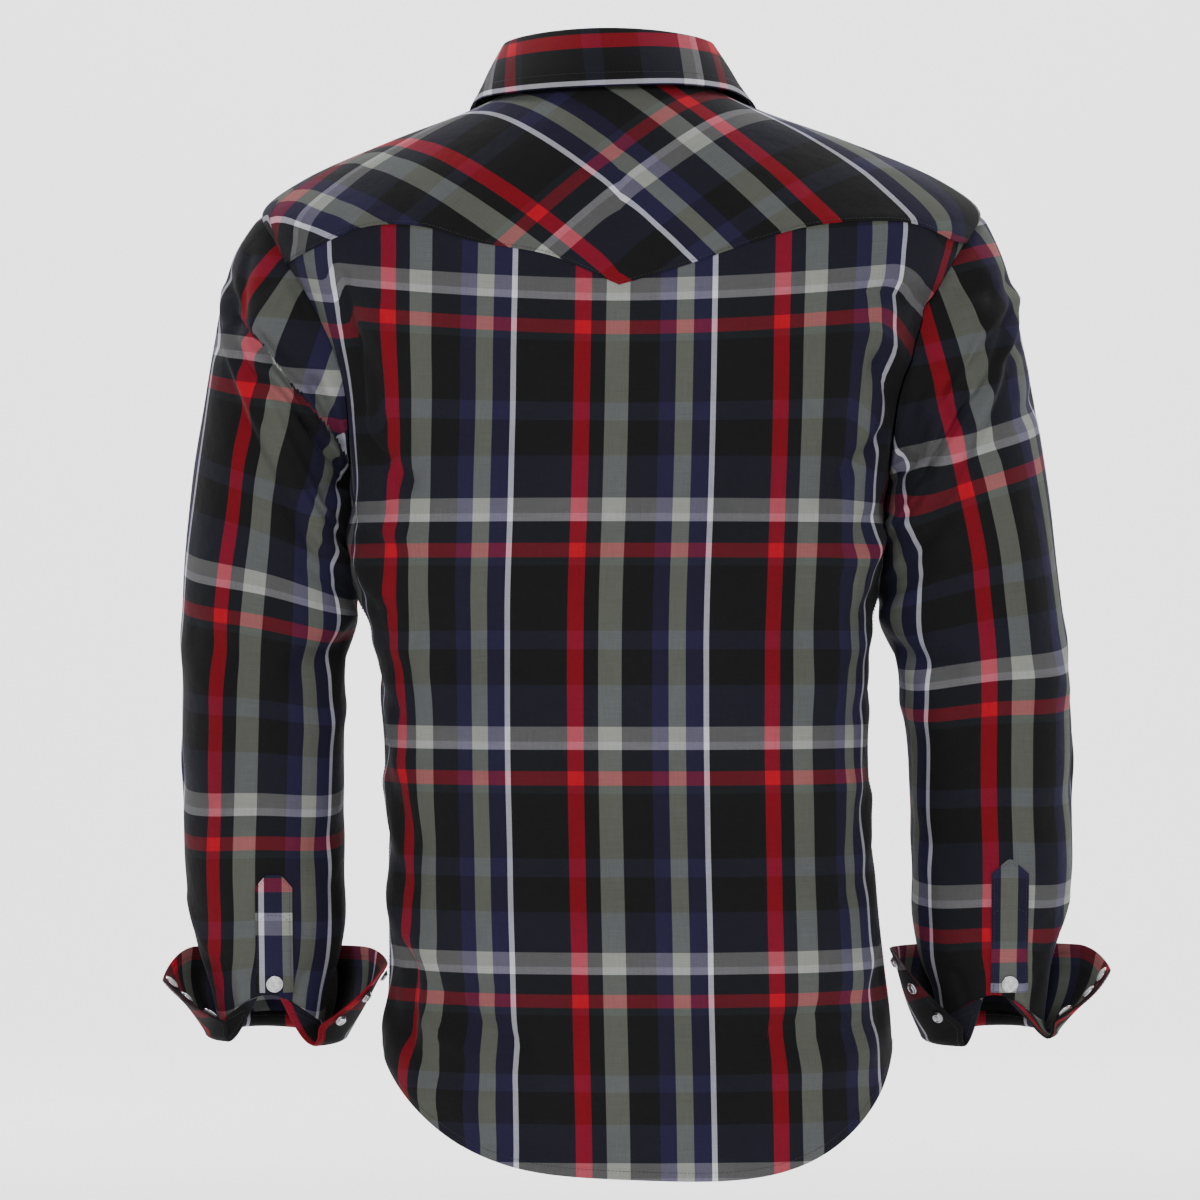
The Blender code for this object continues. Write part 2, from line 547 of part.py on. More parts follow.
def sleeve_turns(side):
    """Turns round a sleeve that meet the steps of the back, the yoke and the front."""
    front = front_turns()[::-1] + 2 * math.pi
    around = np.concatenate([yoke_turns(side)[::-1], back_turns(side)[::-1][1:], front[::-1][1:-1]])
    return around


# ---------------------------------------------------------------- meshes
def unit(vectors):
    return vectors / np.linalg.norm(vectors, axis=-1, keepdims=True)


def drawn_in(points, distance, edges="lrbt"):
    """Move the named edges of a grid inwards: left, right, bottom, top."""
    result = points.copy()
    if "l" in edges:
        result[0] += unit(points[1] - points[0]) * distance
    if "r" in edges:
        result[-1] += unit(points[-2] - points[-1]) * distance
    if "b" in edges:
        result[:, 0] += unit(points[:, 1] - points[:, 0]) * distance
    if "t" in edges:
        result[:, -1] += unit(points[:, -2] - points[:, -1]) * distance
    return result


def material(name, colour, roughness, metallic):
    """A plain material of the piece."""
    found = bpy.data.materials.get(name)
    if found:
        return found
    new = bpy.data.materials.new(name)
    new.use_nodes = True
    shader = new.node_tree.nodes["Principled BSDF"]
    shader.inputs["Base Color"].default_value = (*colour, 1.0)
    shader.inputs["Roughness"].default_value = roughness
    shader.inputs["Metallic"].default_value = metallic
    return new


def add_object(name, mesh, finish):
    """Put a mesh into the shirt's collection."""
    item = bpy.data.objects.new(name, mesh)
    bpy.data.collections["western_snap_shirt"].objects.link(item)
    item.data.materials.append(material(name, *finish[1:]))
    mesh.shade_smooth()
    mesh.set_sharp_from_angle(angle=math.radians(50))
    return item


def grid_normals(points):
    """Directions across a grid's faces, at its points."""
    return unit(np.cross(np.gradient(points, axis=0), np.gradient(points, axis=1)))


def cloth(name, face, back, finish, closed=False):
    """A cloth piece between two grids of points. The first axis of a grid runs round the body."""
    columns, rows = face.shape[:2]
    shape = bmesh.new()
    sides = [[[shape.verts.new(grid[i, j]) for j in range(rows)] for i in range(columns)]
             for grid in (face, back)]
    steps = [(i, (i + 1) % columns) for i in range(columns if closed else columns - 1)]
    for corners in sides:
        for i, after in steps:
            for j in range(rows - 1):
                shape.faces.new((corners[i][j], corners[after][j], corners[after][j + 1], corners[i][j + 1]))
    face_side, back_side = sides
    for row in (0, rows - 1):
        for i, after in steps:
            shape.faces.new((face_side[i][row], face_side[after][row], back_side[after][row], back_side[i][row]))
    for column in () if closed else (0, columns - 1):
        for j in range(rows - 1):
            shape.faces.new((face_side[column][j], face_side[column][j + 1],
                             back_side[column][j + 1], back_side[column][j]))
    bmesh.ops.recalc_face_normals(shape, faces=shape.faces)
    mesh = bpy.data.meshes.new(name)
    shape.to_mesh(mesh)
    shape.free()
    return add_object(name, mesh, finish)


def snap(name, place, outward, radius, height, finish):
    """A snap's cap or stud: a low turned dome that sits on the cloth."""
    outline = [(0.0, height), (radius * 0.55, height * 0.92), (radius * 0.92, height * 0.55),
               (radius, height * 0.2), (radius * 0.94, 0.0), (0.0, 0.0)]
    mesh = bpy.data.meshes.new(name)
    edges = [(i, i + 1) for i in range(len(outline) - 1)]
    mesh.from_pydata([(x, 0.0, z) for x, z in outline], edges, [])
    item = add_object(name, mesh, finish)
    turn = item.modifiers.new("turn", "SCREW")
    turn.steps = 12
    turn.render_steps = 12
    turn.use_merge_vertices = True
    turn.merge_threshold = 0.00001
    outward = Vector(outward).normalized()
    item.location = Vector(place) + outward * LAID_ON
    item.rotation_mode = "QUATERNION"
    item.rotation_quaternion = outward.to_track_quat("Z", "Y")
    return item


# ---------------------------------------------------------------- the pieces
def torso_wall(grid, out=0.0):
    """The two faces of a panel of the torso."""
    return [torso(grid[..., 0], grid[..., 1], depth) for depth in (out, out - CLOTH)]


def make_panel(name, faces, edges, finish):
    """A panel of the torso, drawn in along its seams."""
    return cloth(name, *[drawn_in(face, SEAM_GAP / 2, edges) for face in faces], finish)


def make_fronts():
    """The left front ends at the band. The right front runs on under it, tucked behind."""
    make_panel("front_left", torso_wall(front_grid(-1, -BAND_WIDTH / 2)), "lrt", SHIRTING)
    right = front_grid(1, BAND_WIDTH / 2 + UNDERLAP_STEP)
    levels = right[0, :, 1]
    under = [np.stack([band_angle(levels, offset, 1), levels], axis=-1) for offset in BAND_OFFSETS]
    faces = [np.concatenate([tucked, shown])
             for tucked, shown in zip(torso_wall(np.array(under), -TUCK), torso_wall(right))]
    make_panel("front_right", faces, "rt", SHIRTING)


def make_band():
    """The band lies over the right front's edge and carries the snaps."""
    levels = front_levels(SIDE_ROWS + ARM_ROWS_FRONT)
    columns = [np.stack([band_angle(levels, offset, 1), levels], axis=-1) for offset in BAND_OFFSETS]
    make_panel("front_band", torso_wall(np.array(columns)), "lrt", TRIM)
    for number, level in enumerate(BAND_SNAP_LEVELS, 1):
        angle = band_angle(level, 0.0, 1)[0]
        snap(f"snap_front_{number}", torso(angle, level), torso_normal(angle, level),
             CAP_RADIUS, CAP_HEIGHT, PEARL)


def stand_top(angle):
    """The upper edge of the collar stand."""
    top = STAND_TOP
    along = np.cos(angle)
    x = (top.x_left + top.x_right) / 2 + np.sin(angle) * (top.x_right - top.x_left) / 2
    y = top.y_side + along * np.where(along > 0, top.y_back - top.y_side, top.y_side - top.y_front)
    z = top.z_side + along**2 * (np.where(along > 0, top.z_back, top.z_front) - top.z_side)
    return np.stack([x, y, z], axis=-1)


def level_outward(angle):
    """The level direction away from the neck's middle."""
    return np.stack([np.sin(angle), -np.cos(angle), 0 * angle], axis=-1)


def neck_angles():
    """Angles of the columns that end at the neckline, from the band round the back to the underlap."""
    left = front_grid(-1, -BAND_WIDTH / 2)[:NECK_STEPS_FRONT, -1, 0]
    right = front_grid(1, BAND_WIDTH / 2 + UNDERLAP_STEP)[:NECK_STEPS_FRONT, -1, 0]
    yoke = yoke_grid()[:, -1, 0]
    under = [band_angle(NECKLINE, offset, 1)[0] for offset in (BAND_WIDTH / 2, 0.0, -BAND_WIDTH / 2)]
    over = [band_angle(NECKLINE, offset, -1)[0] for offset in (BAND_WIDTH / 2, 0.0)]
    return np.concatenate([over, left, yoke, right[::-1], under])


def stand_points():
    """The stand runs round the neck and its right end tucks behind its left end."""
    angles = neck_angles()
    tuck = smooth_step(angles, angles[-4], angles[-3])[:, None]
    behind = level_outward(angles) * (FUSED + LAID_ON) * tuck + np.array([0, 0, TUCK]) * tuck
    bottom = torso(angles, NECKLINE) + np.array([0, 0, SEAM_GAP]) - behind
    top = stand_top(angles) - behind
    heights = np.linspace(0, 1, 4)
    return np.stack([bottom * (1 - h) + top * h for h in heights], axis=1)


def make_stand():
    points = stand_points()
    cloth("collar_stand", points, points - grid_normals(points) * FUSED, TRIM)
    angle = band_angle(NECKLINE, 0.0, 1)[0]
    middle = (torso(angle, NECKLINE) + stand_top(angle)) / 2
    lean = math.atan2(STAND_TOP.z_front - TORSO[-1].z_front, TORSO[-1].y_front - STAND_TOP.y_front)
    outward = (0.0, math.sin(lean), math.cos(lean))
    snap("snap_stand", middle, outward, CAP_RADIUS, CAP_HEIGHT, PEARL)


def make_collar():
    """The collar rises off the stand, rolls over and falls to its edge above the yoke."""
    angle = neck_angles()
    angle = angle[np.abs(angle) < COLLAR_START]
    top = stand_top(angle)
    outward = level_outward(angle)
    along_top = unit(np.gradient(top, axis=0))
    up = unit(np.cross(along_top, np.cross(np.array([0.0, 0.0, 1.0]), along_top)))
    edge_angle = COLLAR_END * angle / COLLAR_START
    table = np.array(COLLAR_EDGE)
    fall = through(np.radians(table[:, 0]), table[:, 1:], edge_angle)
    edge = torso(edge_angle, NECKLINE - fall[:, 0], fall[:, 1])
    rows = [top + outward * away + up * rise for away, rise in COLLAR_ROLL]
    start = rows[-1]
    for drop in COLLAR_DROPS:
        bow = COLLAR_BOW * math.sin(math.pi * drop)
        rows.append(start * (1 - drop) + edge * drop + outward * bow)
    points = np.stack(rows, axis=1)
    half = grid_normals(points) * FUSED / 2
    return cloth("collar", points - half, points + half, TRIM)


def cuff_turns(side):
    """Turns of a cuff's columns: 0 away from the slit, and the same columns as the sleeve's."""
    turn = 3 * QUARTER - sleeve_turns(side)
    turn = np.sort((turn + math.pi) % (2 * math.pi) - math.pi)
    return turn[np.abs(turn) < math.pi - CUFF_SLIT]


def cuff_points(side, turn):
    """Points of a cuff: across its length, and from its seam down, round the fold and up."""
    cuff = CUFF_LEFT if side < 0 else CUFF_RIGHT
    wrist = (SLEEVE_LEFT if side < 0 else SLEEVE_RIGHT)[-1]
    share = turn / (math.pi - CUFF_SLIT)
    seam_gap, fold_gap, room, drop, z_corner = np.where(share[:, None] < 0, cuff.outer, cuff.inner).T
    blend = smooth_step(share, -0.4, 0.4)
    room = cuff.outer.room * (1 - blend) + cuff.inner.room * blend
    drop = cuff.outer.drop * (1 - blend) + cuff.inner.drop * blend
    fold_turn = turn - np.sign(turn) * np.radians(fold_gap - seam_gap) * np.abs(share) ** 3
    middle = np.array([(wrist.x_outer + wrist.x_inner) / 2, wrist.y_mid, 0.0])
    radii = np.array([abs(wrist.x_outer - wrist.x_inner) / 2, wrist.half_depth, 0.0])
    z_fold = wrist.z_outer - SEAM_GAP - drop + FAR_RISE * ((1 + np.cos(turn)) / 2) ** 2
    z_seam = wrist.z_outer - SEAM_GAP + wrist.rise * cuff_rise(np.cos(turn))
    rows = []
    for away, down, slide in CUFF_ROLL:
        row_turn = turn * (1 - slide) + fold_turn * slide
        outward = np.stack([-side * np.sin(row_turn), np.cos(row_turn), 0 * turn], axis=-1)
        row = middle + outward * radii + outward * (room * away)[:, None]
        row[:, 2] = z_seam + (z_fold - z_seam) * down
        rows.append(row)
    wing = cuff.end_turn * share
    lip = np.stack([cuff.x_centre - side * np.sin(wing) * cuff.half_width,
                    wrist.y_mid + cuff.y_open + np.cos(wing) * cuff.depth,
                    cuff.z_far + (z_corner - cuff.z_far) * smooth_step(np.abs(share), 0.5, 1.0)], axis=-1)
    start = rows[-1]
    for rise in CUFF_RISES:
        bow = CUFF_BELLY * math.sin(math.pi * rise)
        rows.append(start * (1 - rise) + lip * rise + outward * bow)
    return np.stack(rows, axis=1)


def make_cuff(side):
    name = "left" if side < 0 else "right"
    points = cuff_points(side, cuff_turns(side))
    half = grid_normals(points) * FUSED / 2
    cloth("cuff_" + name, points - half, points + half, TRIM)
    end = math.pi - CUFF_SLIT
    # the caps face the sleeve from the cuff's outer end, the studs face away from it on the inner end
    for kind, sign, radius, height, lift, finish in (
            ("cap", -1, CAP_RADIUS, CAP_HEIGHT, CUFF_CAP_LIFT, PEARL),
            ("stud", 1, STUD_RADIUS, STUD_HEIGHT, CUFF_STUD_LIFT, STEEL)):
        middle = sign * end * (1 - CUFF_SNAP_INSET)
        near = cuff_points(side, middle + np.array([-0.02, 0.0, 0.02]))
        normals = grid_normals(near) * side * sign
        for number, row in enumerate(CUFF_SNAP_ROWS, 1):
            outward = normals[1, row]
            place = near[1, row] + outward * (FUSED / 2 + lift)
            snap(f"snap_cuff_{name}_{kind}_{number}", place, outward, radius, height, finish)


def make_sleeve(side):
    name = "left" if side < 0 else "right"
    turn = sleeve_turns(side)
    along = np.linspace(0, 1, SLEEVE_ROWS + 1) ** 1.15
    faces = [drawn_in(np.moveaxis(sleeve(side, turn, along, out), 0, 1), SEAM_GAP, "b")
             for out in (0.0, -CLOTH)]
    cloth("sleeve_" + name, *faces, SHIRTING, closed=True)


def make_placket(side):
    """The strip over the sleeve's slit, with a chamfered top, and its snap."""
    name = "left" if side < 0 else "right"
    cut = PLACKET_LEFT if side < 0 else PLACKET_RIGHT
    faces = np.zeros((2, PLACKET_COLUMNS, PLACKET_ROWS, 3))
    for i, across in enumerate(np.linspace(-1, 1, PLACKET_COLUMNS)):
        top = cut.z_corner + (cut.z_top - cut.z_corner) * min(1.0, (1 - abs(across)) / cut.chamfer)
        for j, share in enumerate(np.linspace(0, 1, PLACKET_ROWS)):
            x = cut.x_bottom + (cut.x_top - cut.x_bottom) * share + across * PLACKET_WIDTH / 2
            turn, along = place_on_sleeve(side, x, PLACKET_BOTTOM + (top - PLACKET_BOTTOM) * share)
            for face, out in enumerate((LAID_ON + CLOTH, LAID_ON)):
                faces[face, i, j] = sleeve(side, np.array([turn]), np.array([along]), out)[0, 0]
    cloth("placket_" + name, *faces, SHIRTING)
    turn, along = place_on_sleeve(side, cut.x_bottom, PLACKET_SNAP_Z)
    place = sleeve(side, np.array([turn]), np.array([along]), LAID_ON + CLOTH)[0, 0]
    outward = sleeve_normals(side, np.array([turn]), np.array([along]))[0, 0]
    snap("snap_placket_" + name, place, outward, CAP_RADIUS, CAP_HEIGHT, PEARL)


def build():
    """Clear the file and make the whole shirt."""
    for item in list(bpy.data.objects):
        bpy.data.objects.remove(item, do_unlink=True)
    shirt = bpy.data.collections.new("western_snap_shirt")
    bpy.context.scene.collection.children.link(shirt)
    make_panel("back", torso_wall(back_grid()), "lrt", SHIRTING)
    make_panel("back_yoke", torso_wall(yoke_grid()), "lrbt", CROSS_CUT)
    make_fronts()
    make_band()
    make_stand()
    make_collar()
    for side in (-1, 1):
        make_sleeve(side)
        make_placket(side)
        make_cuff(side)


build()
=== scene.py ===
# %% [markdown]
# # Western snap shirt: how its cloth looks
#
# The CAD model gives the shirt its size, its pose and every cut piece as a plain solid. This lesson
# makes the cloth that is seen: thin shells on the forms of those solids, with creases, a woven plaid,
# stitches and snaps. Each piece replaces its plain solid, and rides on the shirt's one body.

# %% Load the frame
import json
import math
from collections import namedtuple

import bmesh
import bpy
import numpy as np
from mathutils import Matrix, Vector

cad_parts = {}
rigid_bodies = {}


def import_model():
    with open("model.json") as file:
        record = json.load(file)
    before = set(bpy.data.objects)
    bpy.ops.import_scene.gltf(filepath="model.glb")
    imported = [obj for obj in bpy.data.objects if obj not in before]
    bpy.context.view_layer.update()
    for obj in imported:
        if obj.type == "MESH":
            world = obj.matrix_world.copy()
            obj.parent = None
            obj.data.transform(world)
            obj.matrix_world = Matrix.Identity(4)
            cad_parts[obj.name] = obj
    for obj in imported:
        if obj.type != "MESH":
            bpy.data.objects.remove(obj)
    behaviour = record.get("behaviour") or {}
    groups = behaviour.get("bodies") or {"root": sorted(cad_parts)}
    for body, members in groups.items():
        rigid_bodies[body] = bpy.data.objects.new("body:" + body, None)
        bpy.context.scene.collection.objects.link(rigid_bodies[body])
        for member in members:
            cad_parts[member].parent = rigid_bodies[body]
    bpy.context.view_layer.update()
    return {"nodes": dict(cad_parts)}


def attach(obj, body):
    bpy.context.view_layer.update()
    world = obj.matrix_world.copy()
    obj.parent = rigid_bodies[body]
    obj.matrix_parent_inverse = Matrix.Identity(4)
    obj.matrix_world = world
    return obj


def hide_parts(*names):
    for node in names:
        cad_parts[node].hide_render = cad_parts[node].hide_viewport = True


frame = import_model()
print("frame loaded,", len(frame["nodes"]), "nodes")

# %% [markdown]
# ## Camera, light and floor
# The camera looks square at the back from four metres away with a long lens, so the shirt is drawn
# with little perspective. It comes first, because everything is judged from there. Large area lights
# give soft shadows in the hollows, and a pale floor that curves up behind needs no horizon.

# %% Camera
VIEW_DISTANCE = 4.0
VIEW_WIDTH = 0.84  # what the frame takes in at the shirt's depth
VIEW_CENTRE = (-0.014, 0.0, -0.343)
SENSOR = 36.0


def add_camera():
    camera = bpy.data.objects.new("camera", bpy.data.cameras.new("camera"))
    camera.data.sensor_width = SENSOR
    camera.data.lens = SENSOR * VIEW_DISTANCE / VIEW_WIDTH
    camera.location = Vector(VIEW_CENTRE) - Vector((0, VIEW_DISTANCE, 0))
    camera.rotation_euler = (math.radians(90), 0, 0)
    bpy.context.scene.collection.objects.link(camera)
    bpy.context.scene.camera = camera
    print("camera lens", round(camera.data.lens, 1), "mm")


add_camera()

# %% Nodes, colours and plain materials
def linear(code):
    """An sRGB hex colour as the linear values that shaders read."""
    parts = [int(code[i:i + 2], 16) / 255 for i in (1, 3, 5)]
    return tuple(c / 12.92 if c <= 0.04045 else ((c + 0.055) / 1.055) ** 2.4 for c in parts) + (1.0,)


def add_node(tree, kind, inputs=(), **settings):
    """Add a node, set its properties, and fill its inputs with values, sockets or whole nodes."""
    node = tree.nodes.new(kind)
    for name, value in settings.items():
        setattr(node, name, value)
    for name, value in dict(inputs).items():
        value = value.outputs[0] if isinstance(value, bpy.types.Node) else value
        if isinstance(value, bpy.types.NodeSocket):
            tree.links.new(value, node.inputs[name])
        else:
            node.inputs[name].default_value = value
    return node


def new_material(name, **sockets):
    """A material whose constant values sit on the shader's own sockets."""
    made = bpy.data.materials.new(name)
    made.use_nodes = True
    shader = made.node_tree.nodes["Principled BSDF"]
    for socket, value in sockets.items():
        shader.inputs[socket.replace("_", " ")].default_value = value
    return made, made.node_tree, shader


# %% Floor and lights
FLOOR = -0.86
FLOOR_FRONT = -6.0
STAGE_WIDTH = 9.0
BEND_START = 2.6  # how far behind the shirt the floor begins to bend up
BEND = 1.6  # radius of the bend from the floor to the backdrop
BEND_STEPS = 12
BACKDROP_TOP = 6.0
Lamp = namedtuple("Lamp", "place aim size watts")
SHIRT = (0.0, 0.0, -0.35)
PAPER = (0.0, 4.0, -0.2)
LAMPS = (
    Lamp((-0.9, -3.6, 1.5), SHIRT, 1.4, 74.0),  # key: above the camera and a little left of it
    Lamp((1.5, -3.6, 0.2), SHIRT, 1.8, 32.0),  # fill on the right
    Lamp((0.0, 1.6, 1.9), SHIRT, 1.4, 8.0),  # top light from behind, for the shoulders' edges
    Lamp((-1.7, 1.0, 1.5), PAPER, 1.4, 170.0),  # these two shine only on the backdrop
    Lamp((1.7, 1.0, 1.5), PAPER, 1.4, 170.0),
)
SKY_STRENGTH = 0.35


def add_floor():
    """A floor that bends up into a backdrop."""
    profile = [(FLOOR_FRONT, FLOOR)]
    for step in range(BEND_STEPS + 1):
        turn = math.radians(90) * step / BEND_STEPS
        profile.append((BEND_START + BEND * math.sin(turn), FLOOR + BEND * (1 - math.cos(turn))))
    profile.append((BEND_START + BEND, BACKDROP_TOP))
    corners = [(x, y, z) for x in (-STAGE_WIDTH / 2, STAGE_WIDTH / 2) for y, z in profile]
    count = len(profile)
    faces = [(i, i + 1, i + 1 + count, i + count) for i in range(count - 1)]
    mesh = bpy.data.meshes.new("floor")
    mesh.from_pydata(corners, [], faces)
    mesh.shade_smooth()
    floor = bpy.data.objects.new("floor", mesh)
    bpy.context.scene.collection.objects.link(floor)
    paper, tree, shader = new_material("backdrop_paper", Roughness=0.95)
    place = add_node(tree, "ShaderNodeTexCoord").outputs["Object"]
    grain = add_node(tree, "ShaderNodeTexNoise", {"Vector": place, "Scale": 240.0, "Detail": 3.0})
    tone = add_node(tree, "ShaderNodeValToRGB", {"Fac": grain.outputs["Fac"]})
    tone.color_ramp.elements[0].color = linear("#f1f1f1")
    tone.color_ramp.elements[1].color = linear("#f7f7f7")
    tree.links.new(tone.outputs["Color"], shader.inputs["Base Color"])
    mesh.materials.append(paper)


def add_lamps():
    for number, lamp in enumerate(LAMPS):
        light = bpy.data.lights.new(f"softbox_{number}", "AREA")
        light.size = lamp.size
        light.energy = lamp.watts
        item = bpy.data.objects.new(light.name, light)
        item.location = lamp.place
        item.rotation_euler = (Vector(lamp.aim) - item.location).to_track_quat("-Z", "Y").to_euler()
        bpy.context.scene.collection.objects.link(item)
    world = bpy.data.worlds.new("studio")
    bpy.context.scene.world = world
    world.use_nodes = True
    sky = world.node_tree.nodes["Background"]
    sky.inputs["Color"].default_value = (1.0, 1.0, 1.0, 1.0)
    sky.inputs["Strength"].default_value = SKY_STRENGTH
    print("floor and", len(LAMPS), "lamps")


add_floor()
add_lamps()

# %% [markdown]
# ## The plaid
# A woven check is two stripe patterns at right angles: one in the warp, one in the weft, mixed thread
# by thread. A picture of it could be wrapped on the cloth, but a rule is truer: each piece carries a
# UV map in metres of flat cloth, two colour ramps with hard steps give the stripes, and their colours
# are mixed as the eye mixes threads. Waves at the thread's spacing give the weave, stretched noise
# the uneven yarn, and a soft noise the small crumples of a worn shirt.

# %% Stripes of the plaid, in metres of flat cloth
Stripe = namedtuple("Stripe", "width colour")
WARP = (  # from left to right
    Stripe(0.0007, "#211c3a"),           # the last stripe's edge
    Stripe(0.0037, "#dddce8"),           # white
    Stripe(0.0395, "#151516"),           # black
    Stripe(0.0109, "#a9061b"),           # red
    Stripe(0.0102, "#151516"),
    Stripe(0.0163, "#787c70"),           # wide olive
    Stripe(0.0204, "#151516"),
    Stripe(0.0115, "#211c3a"),           # navy
    Stripe(0.0117, "#787c70"),           # narrow olive
    Stripe(0.0112, "#211c3a"),
)
WEFT = (  # from the top down
    Stripe(0.0102, "#b0b0b0"),           # grey
    Stripe(0.0052, "#dcdbe2"),           # light grey
    Stripe(0.0149, "#1f212b"),
    Stripe(0.0095, "#ba192d"),           # red
    Stripe(0.0054, "#20272d"),
    Stripe(0.0442, "#151516"),           # black
    Stripe(0.0129, "#26263c"),           # faint navy
    Stripe(0.0245, "#151516"),
    Stripe(0.0287, "#26263c"),
)
WARP_REPEAT = sum(stripe.width for stripe in WARP)
WEFT_REPEAT = sum(stripe.width for stripe in WEFT)
WARP_SHARE = 0.62  # the warp shows more than the weft
WEAVE_SHOW = 0.16  # what either gains where its thread lies on top
THREAD = 0.00042  # spacing of the threads
SCREEN_GAMMA = 2.2  # threads this fine are mixed as a screen mixes them
SLUB_FINE = 2400.0  # noise of the yarn: its scale across a thread
SLUB_LONG = 45.0  # and along it, both for one metre
FADE_SCALE = 9.0  # of the broad fading
CRUMPLE_SCALE = 52.0  # of the small crumples
print("plaid repeat", round(WARP_REPEAT * 1000), "by", round(WEFT_REPEAT * 1000), "mm")


# %% The plaid's nodes
def stripes(tree, along, table):
    """A colour ramp with hard steps over one repeat of the stripes."""
    repeat = sum(stripe.width for stripe in table)
    share = add_node(tree, "ShaderNodeMath", {0: along, 1: 1 / repeat}, operation="MULTIPLY")
    phase = add_node(tree, "ShaderNodeMath", {0: share}, operation="FRACT")
    ramp = add_node(tree, "ShaderNodeValToRGB", {"Fac": phase})
    ramp.color_ramp.interpolation = "CONSTANT"
    stops = ramp.color_ramp.elements
    while len(stops) < len(table):
        stops.new(0.5)
    start = 0.0
    for stop, stripe in zip(stops, table):
        stop.position = start / repeat
        start += stripe.width
    for stop, stripe in zip(stops, table):
        stop.color = linear(stripe.colour)
    return ramp.outputs["Color"]


def wave(tree, along, spacing):
    """A sine of the given spacing."""
    turn = add_node(tree, "ShaderNodeMath", {0: along, 1: 2 * math.pi / spacing}, operation="MULTIPLY")
    return add_node(tree, "ShaderNodeMath", {0: turn}, operation="SINE").outputs[0]


def yarn_noise(tree, flat, scale_u, scale_v):
    """Noise drawn out along the threads, for yarn that is thicker here and thinner there."""
    drawn = add_node(tree, "ShaderNodeVectorMath", {0: flat, 1: (scale_u, scale_v, 1.0)},
                     operation="MULTIPLY")
    noise = add_node(tree, "ShaderNodeTexNoise", {"Vector": drawn, "Scale": 1.0, "Detail": 2.0},
                     noise_dimensions="2D")
    return noise.outputs["Fac"]


def mixed_threads(tree, u, v, over):
    """The colour of the check: warp and weft mixed by how much each of them shows."""
    down = add_node(tree, "ShaderNodeMath", {0: v, 1: -1.0}, operation="MULTIPLY")
    warp, weft = (add_node(tree, "ShaderNodeGamma", {"Color": colour, "Gamma": 1 / SCREEN_GAMMA}).outputs[0]
                  for colour in (stripes(tree, u, WARP), stripes(tree, down.outputs[0], WEFT)))
    share = add_node(tree, "ShaderNodeMath", {0: over, 1: WEAVE_SHOW, 2: 1 - WARP_SHARE},
                     operation="MULTIPLY_ADD")
    mixed = add_node(tree, "ShaderNodeMix", {"Factor": share, 6: warp, 7: weft},
                     data_type="RGBA")
    return add_node(tree, "ShaderNodeGamma", {"Color": mixed.outputs[2], "Gamma": SCREEN_GAMMA}).outputs[0]


def cloth_relief(tree, flat, over, slub, crumple):
    """The bumps of the cloth, one upon the other: its weave, its yarn and its small crumples."""
    weave = add_node(tree, "ShaderNodeBump", {"Height": over, "Strength": 0.35, "Distance": 0.00006})
    yarn = add_node(tree, "ShaderNodeBump",
                    {"Height": slub, "Strength": 0.4, "Distance": 0.00010, "Normal": weave})
    fine = add_node(tree, "ShaderNodeTexNoise", {"Vector": flat, "Scale": CRUMPLE_SCALE, "Detail": 3.0},
                    noise_dimensions="2D")
    crease = add_node(tree, "ShaderNodeBump", {"Height": fine.outputs["Fac"], "Strength": 1.0,
                                               "Distance": crumple, "Normal": yarn})
    return crease.outputs[0]


# %% The plaid as a material
def plaid_cloth(name, crumple):
    """Brushed cotton in the plaid. Crumple is the height of its small creases in metres."""
    cloth, tree, shader = new_material(name, Sheen_Weight=0.05, Sheen_Roughness=0.45,
                                       Sheen_Tint=linear("#c9c9d2"), Specular_IOR_Level=0.15)
    flat = add_node(tree, "ShaderNodeUVMap", uv_map="cloth").outputs["UV"]
    axes = add_node(tree, "ShaderNodeSeparateXYZ", {"Vector": flat})
    u, v = axes.outputs["X"], axes.outputs["Y"]
    over = add_node(tree, "ShaderNodeMath", {0: wave(tree, u, THREAD), 1: wave(tree, v, THREAD)},
                    operation="MULTIPLY").outputs[0]
    threads = mixed_threads(tree, u, v, over)
    yarns = {0: yarn_noise(tree, flat, SLUB_FINE, SLUB_LONG), 1: yarn_noise(tree, flat, SLUB_LONG, SLUB_FINE)}
    slub = add_node(tree, "ShaderNodeMath", yarns, operation="ADD").outputs[0]
    fleck = add_node(tree, "ShaderNodeMath", {0: slub, 1: 0.36, 2: 0.50}, operation="MULTIPLY_ADD")
    broad = yarn_noise(tree, flat, FADE_SCALE, FADE_SCALE)
    fade = add_node(tree, "ShaderNodeMath", {0: broad, 1: 0.28, 2: fleck},
                    operation="MULTIPLY_ADD")
    shade = add_node(tree, "ShaderNodeVectorMath", {0: threads, "Scale": fade},
                     operation="SCALE")
    rough = add_node(tree, "ShaderNodeMath", {0: slub, 1: 0.12, 2: 0.74}, operation="MULTIPLY_ADD")
    tree.links.new(shade.outputs[0], shader.inputs["Base Color"])
    tree.links.new(rough.outputs[0], shader.inputs["Roughness"])
    tree.links.new(cloth_relief(tree, flat, over, slub, crumple), shader.inputs["Normal"])
    return cloth


SHIRTING = plaid_cloth("brushed_cotton_plaid", 0.0012)
FUSED_SHIRTING = plaid_cloth("fused_cotton_plaid", 0.0005)
print("plaid cloth has", len(SHIRTING.node_tree.nodes), "nodes")

# %% [markdown]
# ## The form of the shirt
# The solids of the CAD model stand on two simple rules: the body is a stack of boxy ovals, and each
# sleeve is a row of rings from the armhole to the wrist. The cloth could be pushed out of those
# solids, but they are coarse. Working out the same rules again on a fine grid keeps every size and
# gives room for creases, so the tables of the form are repeated here.

